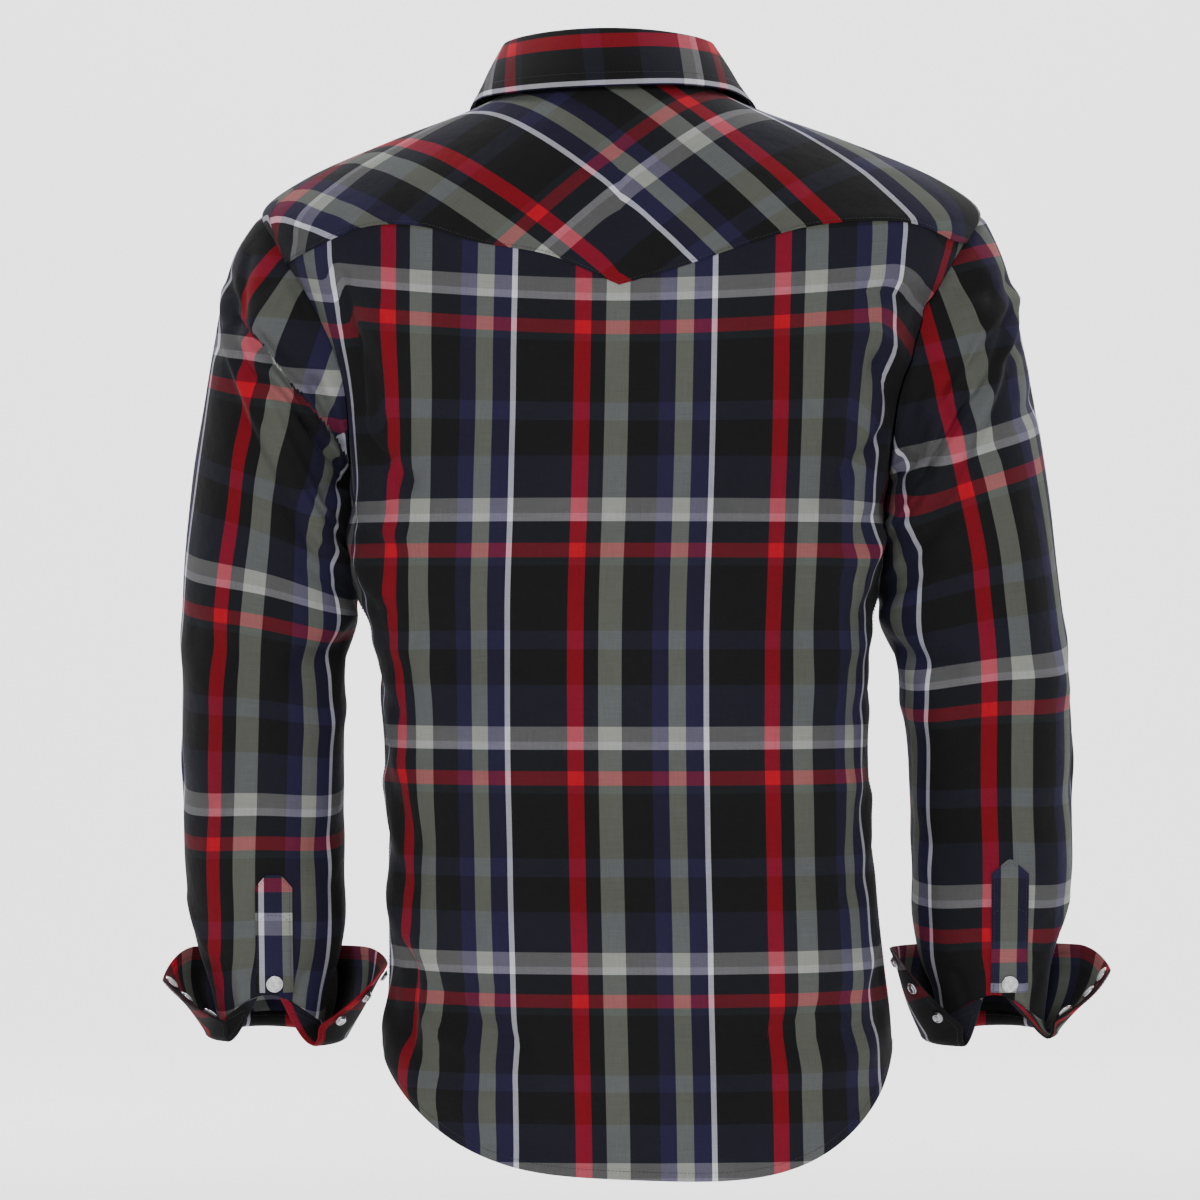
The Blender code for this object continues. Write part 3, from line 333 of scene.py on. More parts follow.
# %% Sizes shared with the solids
CLOTH = 0.0010
FUSED = 0.0022
SEAM_GAP = 0.0005
LAID_ON = 0.0003
QUARTER = math.pi / 2

Ring = namedtuple("Ring", "level z_back z_side z_front x_left x_right y_back y_side y_front square")


def level_ring(level, *widths):
    """A ring whose back, sides and front are all at one height."""
    return Ring(level, level, level, level, *widths)


TORSO = (
    level_ring(-0.77, -0.16, 0.192, -0.106, 0.004, 0.112, 2.4),
    level_ring(-0.66, -0.163, 0.1905, -0.113, 0.004, 0.119, 2.4),
    level_ring(-0.6, -0.162, 0.185, -0.115, 0.003, 0.122, 2.4),
    level_ring(-0.54, -0.162, 0.179, -0.115, 0.002, 0.124, 2.4),
    level_ring(-0.48, -0.164, 0.1755, -0.115, 0.001, 0.125, 2.4),
    level_ring(-0.42, -0.167, 0.1745, -0.116, 0.000, 0.127, 2.4),
    level_ring(-0.365, -0.1725, 0.175, -0.12, -0.009, 0.13, 2.4),
    level_ring(-0.338, -0.1822, 0.178, -0.122, -0.014, 0.132, 2.4),
    level_ring(-0.3, -0.186, 0.18, -0.125, -0.015, 0.134, 2.5),
    level_ring(-0.25, -0.187, 0.187, -0.129, -0.012, 0.136, 2.5),
    Ring(-0.2, -0.202, -0.192, -0.205, -0.199, 0.202, -0.131, -0.006, 0.135, 2.5),
    Ring(-0.15, -0.156, -0.136, -0.168, -0.222, 0.224, -0.13, 0.000, 0.131, 2.5),
    Ring(-0.11, -0.118, -0.096, -0.141, -0.243, 0.243, -0.126, 0.002, 0.125, 2.4),
    Ring(-0.085, -0.092, -0.0715, -0.124, -0.25, 0.252, -0.12, 0.003, 0.118, 2.3),
    Ring(-0.06, -0.062, -0.049, -0.105, -0.222, 0.2235, -0.11, 0.003, 0.11, 2.1),
    Ring(-0.03, -0.029, -0.0225, -0.085, -0.162, 0.1595, -0.095, 0.003, 0.1, 2.0),
    Ring(0.000, 0.002, -0.002, -0.066, -0.108, 0.1015, -0.077, 0.004, 0.086, 2.0),
    Ring(0.02, 0.024, 0.011, -0.05, -0.08, 0.07, -0.058, 0.006, 0.07, 2.0),
)
NECKLINE = TORSO[-1].level
SIDE_HEM = -0.655
BACK_TAIL = -0.7385
FRONT_TAIL = -0.7300
HEM_TILT = 0.0045  # how much lower the hem hangs towards the right
SIDE_TILT = 0.3  # the share of it left at the side seams
HEM_SQUARE = 2.4  # how boxy the body is at the hem
HEM_FLATNESS = 3.5
HEM_SWING = 0.75
ARMPIT_LEVEL = -0.252
SHOULDER_TIP_LEVEL = -0.085
ARMHOLE_MIDDLE = (SHOULDER_TIP_LEVEL + ARMPIT_LEVEL) / 2
ARMHOLE_HALF = (SHOULDER_TIP_LEVEL - ARMPIT_LEVEL) / 2
ARMHOLE_BACK_REACH = math.radians(23)
ARMHOLE_FRONT_REACH = math.radians(28)
YOKE_FRONT_NECK = math.radians(112)
YOKE_FRONT_ARM = math.radians(-32)
BAND_WIDTH = 0.034
UNDERLAP_STEP = 0.005

SeamPoint = namedtuple("SeamPoint", "x z")
YOKE_SEAM = (
    SeamPoint(-0.2345, -0.112),
    SeamPoint(-0.213, -0.1025),
    SeamPoint(-0.174, -0.088),
    SeamPoint(-0.138, -0.088),
    SeamPoint(-0.1, -0.099),
    SeamPoint(-0.046, -0.1098),
    SeamPoint(-0.001, -0.1292),
    SeamPoint(0.044, -0.116),
    SeamPoint(0.09, -0.1),
    SeamPoint(0.125, -0.0895),
    SeamPoint(0.164, -0.0845),
    SeamPoint(0.205, -0.086),
    SeamPoint(0.233, -0.0965),
)
YOKE_POINT_ROW = 6
print("torso of", len(TORSO), "rings")

# %% Creases of the body
# A crease is a soft trough or ridge along a line, between two places of the surface given by the
# angle round the body, in degrees from the centre back, and the level.
Fold = namedtuple("Fold", "angle_start level_start angle_end level_end width depth")
TORSO_FOLDS = (
    # broad ones: at the tail, at the waist, under the arms and on the fronts
    Fold(-76, -0.595, -28, -0.652, 0.019, -0.0055),
    Fold(-80, -0.64, -40, -0.692, 0.019, 0.0045),
    Fold(-84, -0.44, -56, -0.51, 0.018, -0.0035),
    Fold(-70, -0.29, -50, -0.39, 0.018, 0.0035),
    Fold(72, -0.29, 50, -0.4, 0.018, 0.0035),
    Fold(84, -0.45, 58, -0.52, 0.018, -0.0035),
    Fold(76, -0.605, 36, -0.64, 0.018, -0.0045),
    Fold(-122, -0.29, -146, -0.38, 0.019, 0.004),
    Fold(122, -0.29, 146, -0.38, 0.019, 0.004),
    Fold(-110, -0.56, -142, -0.63, 0.019, -0.0045),
    Fold(110, -0.57, 142, -0.63, 0.019, -0.0045),
    # under the left arm, down the left side of the back
    Fold(-88, -0.275, -58, -0.3, 0.0075, -0.003),
    Fold(-88, -0.3, -60, -0.335, 0.008, 0.0026),
    Fold(-89, -0.335, -57, -0.35, 0.0075, -0.0028),
    Fold(-88, -0.372, -55, -0.378, 0.009, 0.0022),
    Fold(-88, -0.4, -62, -0.42, 0.0085, -0.0024),
    Fold(-86, -0.47, -60, -0.455, 0.01, 0.002),
    Fold(-88, -0.505, -58, -0.54, 0.0095, -0.0022),
    Fold(-84, -0.545, -50, -0.59, 0.011, 0.0022),
    # pulls at the lower left
    Fold(-70, -0.588, -34, -0.61, 0.0085, -0.0024),
    Fold(-66, -0.61, -24, -0.672, 0.0075, 0.0022),
    Fold(-74, -0.622, -48, -0.668, 0.007, -0.0026),
    Fold(-72, -0.66, -50, -0.69, 0.008, 0.0018),
    # under the right arm, down the right side of the back
    Fold(88, -0.27, 60, -0.292, 0.0075, -0.0026),
    Fold(88, -0.3, 58, -0.322, 0.008, 0.0026),
    Fold(88, -0.33, 60, -0.352, 0.008, -0.0026),
    Fold(88, -0.365, 56, -0.38, 0.009, 0.0022),
    Fold(88, -0.405, 62, -0.42, 0.009, -0.002),
    Fold(87, -0.48, 60, -0.47, 0.01, 0.0018),
    Fold(88, -0.515, 56, -0.545, 0.01, -0.002),
    # pulls at the lower right
    Fold(74, -0.58, 46, -0.632, 0.009, 0.0022),
    Fold(68, -0.632, 30, -0.645, 0.0075, -0.0022),
    Fold(60, -0.655, 34, -0.668, 0.008, 0.0016),
    # short sharp ones beside the armholes
    Fold(-62, -0.232, -46, -0.262, 0.006, -0.004),
    Fold(-66, -0.286, -44, -0.303, 0.007, 0.0034),
    Fold(-50, -0.126, -55, -0.172, 0.006, -0.004),
    Fold(-55, -0.172, -61, -0.214, 0.0065, -0.004),
    Fold(-44, -0.15, -50, -0.214, 0.008, 0.0026),
    Fold(64, -0.232, 50, -0.256, 0.006, -0.004),
    Fold(82, -0.298, 52, -0.317, 0.0075, 0.0034),
    Fold(43, -0.134, 66, -0.152, 0.0065, -0.0046),
    Fold(45, -0.162, 65, -0.186, 0.008, 0.004),
    Fold(52, -0.186, 67, -0.214, 0.006, -0.004),
    # the hollow at the lower left, and the sharp pull at the lower right
    Fold(-64, -0.592, -61, -0.64, 0.0105, -0.006),
    Fold(-52, -0.607, -26, -0.648, 0.0055, -0.0034),
    Fold(-54, -0.634, -40, -0.65, 0.0055, 0.003),
    Fold(54, -0.617, 28, -0.637, 0.006, -0.0036),
    # the cloth that the sleeves rest on
    Fold(-92, -0.262, -91, -0.335, 0.015, 0.0034),
    Fold(92, -0.262, 91, -0.335, 0.015, 0.0034),
    # from the shoulder blades down beside the armholes
    Fold(-54, -0.15, -48, -0.26, 0.014, -0.0016),
    Fold(54, -0.15, 49, -0.27, 0.014, -0.0016),
    Fold(-30, -0.18, -34, -0.33, 0.02, 0.0014),
    Fold(28, -0.2, 32, -0.34, 0.02, 0.0014),
    Fold(-12, -0.42, -18, -0.6, 0.018, -0.0012),
    Fold(16, -0.4, 12, -0.58, 0.02, 0.0012),
    Fold(30, -0.56, 22, -0.69, 0.016, -0.0013),
    # the fronts, much as the back
    Fold(-94, -0.28, -124, -0.31, 0.008, -0.0026),
    Fold(-94, -0.325, -126, -0.35, 0.0085, 0.0024),
    Fold(-94, -0.39, -122, -0.43, 0.009, -0.0022),
    Fold(-96, -0.5, -126, -0.545, 0.01, -0.002),
    Fold(94, -0.275, 122, -0.305, 0.008, -0.0026),
    Fold(94, -0.32, 124, -0.342, 0.0085, 0.0024),
    Fold(94, -0.395, 122, -0.42, 0.009, -0.0022),
    Fold(95, -0.505, 126, -0.535, 0.01, -0.002),
    Fold(-130, -0.15, -136, -0.26, 0.015, -0.0016),
    Fold(130, -0.15, 136, -0.265, 0.015, -0.0016),
    Fold(-150, -0.4, -144, -0.56, 0.018, 0.0014),
    Fold(150, -0.42, 146, -0.6, 0.018, 0.0014),
)
TORSO_RADIUS = 0.158  # turns an angle into a length, near enough for creases
print(len(TORSO_FOLDS), "creases on the body")


# %% Curves
def through(knots, rows, at):
    """A smooth curve through rows of values that sit at rising knots."""
    knots = np.asarray(knots, float)
    rows = np.asarray(rows, float)
    at = np.clip(np.asarray(at, float), knots[0], knots[-1])
    slopes = np.gradient(rows, knots, axis=0)
    first = np.clip(np.searchsorted(knots, at, side="right") - 1, 0, len(knots) - 2)
    step = knots[first + 1] - knots[first]
    t = (at - knots[first]) / step
    spread = (...,) + (None,) * (rows.ndim - 1)
    t, step = t[spread], step[spread]
    start = rows[first] * (2 * t**3 - 3 * t**2 + 1) + slopes[first] * step * (t**3 - 2 * t**2 + t)
    end = rows[first + 1] * (3 * t**2 - 2 * t**3) + slopes[first + 1] * step * (t**3 - t**2)
    return start + end


def smooth_step(value, low, high):
    """0 below low, 1 above high, smooth between."""
    t = np.clip((value - low) / (high - low), 0.0, 1.0)
    return t * t * (3 - 2 * t)


def oval_reach(angle, square):
    """How far a unit superellipse reaches at an angle."""
    return (np.abs(np.sin(angle)) ** square + np.abs(np.cos(angle)) ** square) ** (-1.0 / square)


def joined(*parts):
    """Coordinates given one by one, as the last axis of one array."""
    return np.stack(parts, axis=-1)


def unit(vectors):
    return vectors / np.linalg.norm(vectors, axis=-1, keepdims=True)


def grid_normals(points):
    """Directions across a grid's faces, at its points."""
    return unit(np.cross(np.gradient(points, axis=0), np.gradient(points, axis=1)))


def lengths_along(points):
    """Lengths along the first axis of a grid, for each row."""
    steps = np.linalg.norm(np.diff(points, axis=0), axis=-1)
    return np.concatenate([np.zeros((1,) + steps.shape[1:]), np.cumsum(steps, axis=0)])


def lengths_up(points):
    """Lengths along the second axis of a grid, for each column."""
    return lengths_along(points.swapaxes(0, 1)).swapaxes(0, 1)


# %% The body's surface
RING_LEVELS = [ring.level for ring in TORSO]
RING_VALUES = [tuple(ring)[1:] for ring in TORSO]
NUDGE = 1e-3  # a small step, for slopes


def plain_torso(angle, level):
    """A point of the body without its creases. Angle 0 is the centre back, positive to the right."""
    angle = np.asarray(angle, float)
    ring = through(RING_LEVELS, RING_VALUES, level + 0.0 * angle)
    z_back, z_side, z_front, x_left, x_right, y_back, y_side, y_front, square = np.moveaxis(ring, -1, 0)
    reach = oval_reach(angle, square)
    across = np.sin(angle) * reach
    along = np.cos(angle) * reach
    toward = np.cos(angle) ** 2
    behind = along > 0
    x = (x_left + x_right) / 2 + across * (x_right - x_left) / 2
    y = y_side + along * np.where(behind, y_back - y_side, y_side - y_front)
    z = z_side + toward * (np.where(behind, z_back, z_front) - z_side)
    return joined(x, y, z)


def body_middle(level):
    """The x halfway between the body's two sides."""
    ring = through(RING_LEVELS, RING_VALUES, level)
    return (ring[..., 3] + ring[..., 4]) / 2


def fold_height(folds, radius, length, angle, level):
    """The sum of a table's creases at a place of a surface, in metres along its normal."""
    height = np.zeros_like(angle)
    here = joined(angle * radius, level * length)
    for fold in folds:
        start = np.array([math.radians(fold.angle_start) * radius, fold.level_start * length])
        end = np.array([math.radians(fold.angle_end) * radius, fold.level_end * length])
        run = end - start
        share = np.clip((here - start) @ run / (run @ run), 0.0, 1.0)
        miss = np.linalg.norm(here - start - share[..., None] * run, axis=-1)
        height += fold.depth * np.exp(-((miss / fold.width) ** 2))
    return height


SWELL_WAVES = 9
SWELL_LENGTHS = (0.045, 0.110)
SWELL_HEIGHT = 0.0018  # of each wave, as a share of its length
BODY_SEED = 4


def unevenness(across, up, seed):
    """The slight swell of any worn cloth: a few long waves whose sum never repeats."""
    draw = np.random.default_rng(seed)
    height = np.zeros_like(across)
    for _ in range(SWELL_WAVES):
        way = draw.uniform(0, math.pi)
        length = draw.uniform(*SWELL_LENGTHS)
        turn = 2 * math.pi * (across * math.cos(way) + up * math.sin(way)) / length
        height += np.sin(turn + draw.uniform(0, 2 * math.pi)) * length
    return height * SWELL_HEIGHT


def torso_normal(angle, level):
    """The outward direction of the body."""
    around = plain_torso(angle + NUDGE, level) - plain_torso(angle - NUDGE, level)
    upward = plain_torso(angle, level + NUDGE) - plain_torso(angle, level - NUDGE)
    return unit(np.cross(around, upward))


def torso(angle, level, out=0.0):
    """A point of the body with its creases, moved out along the surface's normal."""
    angle = np.asarray(angle, float)
    level = level + 0.0 * angle
    height = fold_height(TORSO_FOLDS, TORSO_RADIUS, 1.0, angle, level)
    below_neck = 1 - smooth_step(level, -0.08, 0.0)
    height += unevenness(angle * TORSO_RADIUS, level, BODY_SEED) * below_neck
    return plain_torso(angle, level) + (height + out)[..., None] * torso_normal(angle, level)


print("back at the waist, y =", round(float(torso(0.0, -0.4)[1]), 4))


# %% Places and edges on the body
SEARCH_ROUNDS = 30
SEARCH_NUDGE = 1e-4
SEARCH_TURN = 0.2  # the search changes an angle by no more than this in a round
SEARCH_RISE = 0.03  # and a level by no more than this
HALF_SHOULDERS = 0.26


def place_on_back(x, z):
    """The angle and level of the point of the back at a given x and z."""
    angle = math.asin(max(-0.9, min(0.9, x / HALF_SHOULDERS)))
    level = z
    for _ in range(SEARCH_ROUNDS):
        point = plain_torso(angle, level)
        by_angle = (plain_torso(angle + SEARCH_NUDGE, level) - point) / SEARCH_NUDGE
        by_level = (plain_torso(angle, level + SEARCH_NUDGE) - point) / SEARCH_NUDGE
        slopes = np.array([[by_angle[0], by_level[0]], [by_angle[2], by_level[2]]])
        change = np.linalg.solve(slopes, np.array([x - point[0], z - point[2]]))
        angle += float(np.clip(change[0], -SEARCH_TURN, SEARCH_TURN))
        level += float(np.clip(change[1], -SEARCH_RISE, SEARCH_RISE))
    return angle, level


def hem_level(angle, tail):
    """The hem: level at the side seams and down to the tail between them."""
    across = np.minimum(np.abs(np.sin(angle)) * oval_reach(angle, HEM_SQUARE), 1.0)
    drop = (1 - across**HEM_FLATNESS) ** HEM_SWING
    return SIDE_HEM + (tail - SIDE_HEM) * drop - HEM_TILT * np.sin(angle) * (drop + SIDE_TILT)


def armhole(turn, side):
    """Angle and level on an armhole. Turn 0 is the shoulder tip, pi the armpit, pi/2 the back."""
    reach = np.where(np.sin(turn) > 0, ARMHOLE_BACK_REACH, ARMHOLE_FRONT_REACH)
    return side * (QUARTER - reach * np.sin(turn)), ARMHOLE_MIDDLE + ARMHOLE_HALF * np.cos(turn)


def on_armhole(turn, side):
    return joined(*armhole(turn, side))


def yoke_turn(side):
    """Where on the armhole the yoke's lower edge starts."""
    end = YOKE_SEAM[0] if side < 0 else YOKE_SEAM[-1]
    level = place_on_back(end.x, end.z)[1]
    return math.acos((level - ARMHOLE_MIDDLE) / ARMHOLE_HALF)


# %% [markdown]
# ## Flat cloth coordinates
# The stripes have to run straight in the cloth, whatever the form does. Unwrapping by Blender's own
# operator would turn and scale each piece freely. Here the length round the body is measured at every
# level, as a tape would measure the panel: from the centre back on the back, and from the middle of
# the front, as seen from above, on the fronts. The height is that of the check's rows. The yoke curves
# two ways over the shoulders, so it is laid flat by a least-shear map and then turned, because it is
# cut on the bias.

# %% Lengths round the body
TABLE_ANGLES = np.linspace(-math.pi - 0.5, math.pi + 0.5, 721)
TABLE_LEVELS = np.linspace(TORSO[0].level, NECKLINE, 159)


def length_table(axes):
    """Lengths round the body from the centre back, one row for each level, on two axes or all three."""
    lengths = lengths_up(np.stack([plain_torso(TABLE_ANGLES, level)[:, :axes] for level in TABLE_LEVELS]))
    middle = len(TABLE_ANGLES) // 2
    return lengths - lengths[:, middle:middle + 1]


ROUND_BODY = length_table(3)
LEVEL_ROUND = length_table(2)  # as seen from above: no ring dips in front


def round_body(angle, level, table=ROUND_BODY):
    """The length round the body from the centre back to an angle, at a level."""
    column = (angle - TABLE_ANGLES[0]) / (TABLE_ANGLES[1] - TABLE_ANGLES[0])
    held = np.clip(level, TABLE_LEVELS[0], TABLE_LEVELS[-1])
    row = (held - TABLE_LEVELS[0]) / (TABLE_LEVELS[1] - TABLE_LEVELS[0])
    i = np.clip(np.floor(column).astype(int), 0, len(TABLE_ANGLES) - 2)
    j = np.clip(np.floor(row).astype(int), 0, len(TABLE_LEVELS) - 2)
    a, b = column - i, row - j
    low = table[j, i] * (1 - a) + table[j, i + 1] * a
    high = table[j + 1, i] * (1 - a) + table[j + 1, i + 1] * a
    return low * (1 - b) + high * b


print("half round the chest", round(float(round_body(np.array(math.pi), np.array(-0.25))), 3), "m")

# %% Where the check lies on the body
# The middle between two white stripes sways a little down the back, and the rows of the check lie
# closer together in the tail. A phase is a place in the warp, from the start of its repeat.
SWAY_LEVELS = (-0.760, -0.725, -0.585, -0.430, -0.340, -0.275, -0.130, 0.020)
SWAY = (-0.0036, -0.0040, -0.0072, -0.0100, -0.0095, -0.0072, -0.0043, -0.0020)
MIDDLE_PHASE = 0.0706  # of the middle between two white stripes
ROW_LEVELS = (-0.7266, -0.5830, -0.4292, -0.2737, -0.1169)
ROW_HEIGHTS = tuple(-WEFT_REPEAT * n for n in (4, 3, 2, 1, 0))
DROOP_ENDS = -0.290  # the rows beside the armholes hang lower above this level
DROOP_FULL = -0.200
Droop = namedtuple("Droop", "angle_start angle_full depth")
DROOPS = {-1: Droop(50, 56, 0.014), 1: Droop(46, 68, 0.026)}
DROOP_BEHIND = (80, 110)  # it fades between these angles, towards the fronts


def check_rows(level):
    """The height in flat cloth of a level, straight on past the ends of the table."""
    inside = through(ROW_LEVELS, ROW_HEIGHTS, level)
    return inside + np.minimum(level - ROW_LEVELS[0], 0) + np.maximum(level - ROW_LEVELS[-1], 0)


def drooping(angle, level):
    """How much lower the rows hang beside the armholes, where the sleeves' weight pulls on them."""
    held = smooth_step(level, DROOP_ENDS, DROOP_FULL)
    left, right = (smooth_step(side * angle, *np.radians(droop[:2])) * droop.depth
                   for side, droop in DROOPS.items())
    behind = 1 - smooth_step(np.abs(angle), *np.radians(DROOP_BEHIND))
    return (left + right) * held * behind


def body_flat(angle, level):
    """Flat cloth coordinates of a place on the back."""
    u = round_body(angle, level) + body_middle(level) - through(SWAY_LEVELS, SWAY, level) + MIDDLE_PHASE
    return joined(u, check_rows(level) + drooping(angle, level))


FRONT_PHASE = 0.0731  # the wide olive stripe runs down the middle of the front


def front_flat(angle, level):
    """Flat cloth coordinates of a place on a front: round from its middle, and by its height."""
    middle = np.where(angle > 0, math.pi, -math.pi)
    u = round_body(angle, level, LEVEL_ROUND) - round_body(middle, level, LEVEL_ROUND) + FRONT_PHASE
    return joined(u, check_rows(plain_torso(angle, level)[..., 2]))


def flattened(points):
    """Lay a coarse grid of points flat with the least shear, its middle column held upright."""
    columns, rows = points.shape[:2]
    number = np.arange(columns * rows).reshape(columns, rows)
    halves = [joined(number[:-1, :-1], number[1:, :-1], number[1:, 1:]).reshape(-1, 3),
              joined(number[:-1, :-1], number[1:, 1:], number[:-1, 1:]).reshape(-1, 3)]
    triangles = np.concatenate(halves)
    corner = points.reshape(-1, 3)[triangles]
    first = corner[:, 1] - corner[:, 0]
    second = corner[:, 2] - corner[:, 0]
    along = unit(first)
    size = np.linalg.norm(np.cross(first, second), axis=-1)
    local = joined(0 * size + 0j, np.linalg.norm(first, axis=-1) + 0j,
                   (second * along).sum(-1) + 1j * size / np.linalg.norm(first, axis=-1))
    weights = joined(local[:, 2] - local[:, 1], local[:, 0] - local[:, 2], local[:, 1] - local[:, 0])
    weights /= np.sqrt(size)[:, None]
    system = np.zeros((len(triangles), columns * rows), complex)
    np.put_along_axis(system, triangles, weights, axis=1)
    middle = points[columns // 2]
    height = np.linalg.norm(np.diff(middle, axis=0), axis=-1).sum()
    held = {number[columns // 2, 0]: 0j, number[columns // 2, -1]: 1j * height}
    free = np.array([n for n in range(columns * rows) if n not in held])
    right = -sum(system[:, n] * place for n, place in held.items())
    answer = np.zeros(columns * rows, complex)
    answer[free] = np.linalg.lstsq(system[:, free], right, rcond=None)[0]
    for n, place in held.items():
        answer[n] = place
    answer = answer.reshape(columns, rows)
    return joined(answer.real, answer.imag)


def refined(table, columns, rows):
    """Values of a coarse grid on a finer grid of the same shape."""
    finer = through(np.linspace(0, 1, table.shape[0]), table, np.linspace(0, 1, columns))
    finer = np.moveaxis(finer, 1, 0)
    return np.moveaxis(through(np.linspace(0, 1, table.shape[1]), finer, np.linspace(0, 1, rows)), 1, 0)


def smooth_rows(rows, count):
    """A grid whose columns run smoothly through a list of rows."""
    columns = through(np.arange(len(rows)), np.stack(rows), np.linspace(0, len(rows) - 1, count))
    return np.moveaxis(columns, 0, 1)


def turned(flat, degrees, shift=(0.0, 0.0)):
    """Turn flat coordinates and move them, for a piece that is cut at an angle."""
    turn = math.radians(degrees)
    u = flat[..., 0] * math.cos(turn) - flat[..., 1] * math.sin(turn) + shift[0]
    v = flat[..., 0] * math.sin(turn) + flat[..., 1] * math.cos(turn) + shift[1]
    return joined(u, v)


# %% [markdown]
# ## From a grid to a cloth piece
# A cut piece is a grid of points with a thin wall. The Solidify modifier could thicken it, but where
# panels meet at a sharp edge it sends spikes out. Two grids along the surface's own normals and a rim
# between them give an even wall, and the rim is drawn in a little, as a turned edge is.

# %% Walls
PARTS = bpy.data.collections.new("shirt_cloth")
bpy.context.scene.collection.children.link(PARTS)
EDGE_THIN = (0.55, 0.9)  # share of the wall at the edge and one step in
SAME_PLACE = 1e-6
SHARP_ANGLE = math.radians(60)
SIDES = {-1: "left", 1: "right"}  # the wearer's left is on the left, at -X


def put(name, mesh, *finishes):
    item = bpy.data.objects.new(name, mesh)
    PARTS.objects.link(item)
    for finish in finishes:
        mesh.materials.append(finish)
    return item


def edge_profile(columns, rows, closed):
    """How full the wall is over the grid: thinner at free edges."""
    profile = np.ones((columns, rows))
    for step, share in enumerate(EDGE_THIN):
        profile[:, [step, rows - 1 - step]] = np.minimum(profile[:, [step, rows - 1 - step]], share)
        if not closed:
            profile[[step, columns - 1 - step]] = np.minimum(profile[[step, columns - 1 - step]], share)
    return profile[..., None]


def cloth_piece(name, points, normals, thickness, flat, finish, closed=False, under_flat=None):
    """A thin wall on both sides of a grid of points. A closed grid repeats its first column."""
    columns, rows = points.shape[:2]
    half = normals * thickness / 2 * edge_profile(columns, rows, closed)
    corners = np.concatenate([(points + half).reshape(-1, 3), (points - half).reshape(-1, 3)])
    number = np.arange(columns * rows).reshape(columns, rows)
    quads = joined(number[:-1, :-1], number[1:, :-1], number[1:, 1:], number[:-1, 1:]).reshape(-1, 4)
    under = quads[:, ::-1] + columns * rows
    rims = [number[:, 0][::-1], number[:, -1]]
    if not closed:
        rims += [number[0], number[-1][::-1]]
    strips = [joined(line[:-1], line[1:], line[1:] + columns * rows, line[:-1] + columns * rows)
              for line in rims]
    faces = np.concatenate([quads, under] + strips)
    mesh = bpy.data.meshes.new(name)
    mesh.from_pydata(corners.tolist(), [], faces.tolist())
    layer = mesh.uv_layers.new(name="cloth")
    under_flat = flat if under_flat is None else under_flat
    both = np.concatenate([flat.reshape(-1, 2), under_flat.reshape(-1, 2)])
    loops = np.zeros(len(mesh.loops), int)
    mesh.loops.foreach_get("vertex_index", loops)
    layer.data.foreach_set("uv", both[loops].ravel())
    shape = bmesh.new()
    shape.from_mesh(mesh)
    if closed:
        bmesh.ops.remove_doubles(shape, verts=shape.verts, dist=SAME_PLACE)
    bmesh.ops.recalc_face_normals(shape, faces=shape.faces)
    shape.to_mesh(mesh)
    shape.free()
    mesh.shade_smooth()
    mesh.set_sharp_from_angle(angle=SHARP_ANGLE)
    print(name, len(mesh.polygons), "faces")
    return put(name, mesh, finish)


# %% Seams: one form for all the panels of the body
SEAM_DIP = 0.0005  # a seam lies a little lower than the cloth beside it
SEAM_SHARES = (1.0, 0.45)  # of that dip, at the seam and one step in
EDGE_FADE = 4.0  # how quickly a patch forgets its lower and upper edge


def patch(bottom, top, left, right):
    """Fill a four-sided outline of (angle, level) points with a grid of rows from left to right."""
    bottom, top, left, right = (np.asarray(edge, float) for edge in (bottom, top, left, right))
    across = np.linspace(0, 1, len(bottom))[:, None, None]
    up = np.linspace(0, 1, len(left))[None, :, None]
    grid = left[None, :] * (1 - across) + right[None, :] * across
    from_bottom = bottom[:, None] - grid[:, :1]
    from_top = top[:, None] - grid[:, -1:]
    return grid + from_bottom * (1 - up) ** EDGE_FADE + from_top * up ** EDGE_FADE


def seam_dip(columns, rows, edges):
    """Depth of the dip along the named edges of a grid: left, right, bottom, top."""
    dip = np.zeros((columns, rows))
    for step, share in enumerate(SEAM_SHARES):
        lines = {"l": dip[step], "r": dip[-1 - step], "b": dip[:, step], "t": dip[:, -1 - step]}
        for edge in edges:
            lines[edge][:] = np.maximum(lines[edge], share)
    return -SEAM_DIP * dip


def panel(name, grid, edges, finish, flat=body_flat, out=0.0, thickness=CLOTH):
    """A panel whose outer face lies on the body. Flat is a rule for its check, or its coordinates."""
    angle, level = grid[..., 0], grid[..., 1]
    lift = seam_dip(*angle.shape, edges) + out - thickness / 2
    points = torso(angle, level, lift)
    flat = flat(angle, level) if callable(flat) else flat
    return cloth_piece(name, points, torso_normal(angle, level), thickness, flat, finish)


SIDE_ROWS = 100
ARM_ROWS_BACK = 40
ARM_ROWS_YOKE = 22
ARM_ROWS_FRONT = 46
HALF_COLUMNS = 60
YOKE_ROWS = 40
NECK_STEPS_FRONT = 22
HEM_FADE = (0.0065, 0.0090)  # the turned hem ends between these distances from its edge
HEM_THICK = 0.0006  # what its layers add to the wall
print("side seam of", SIDE_ROWS, "rows")

# %% [markdown]
# ## Back and yoke
# The back ends in a rounded tail with a narrow turned hem. The yoke lies over its upper edge, and its
# own lower edge comes to a point. The two could be one mesh with a drawn line, but the yoke is cut on
# the bias and its edge has a thickness that catches the light, so it is a piece of its own, and the
# back runs on a little way under it.

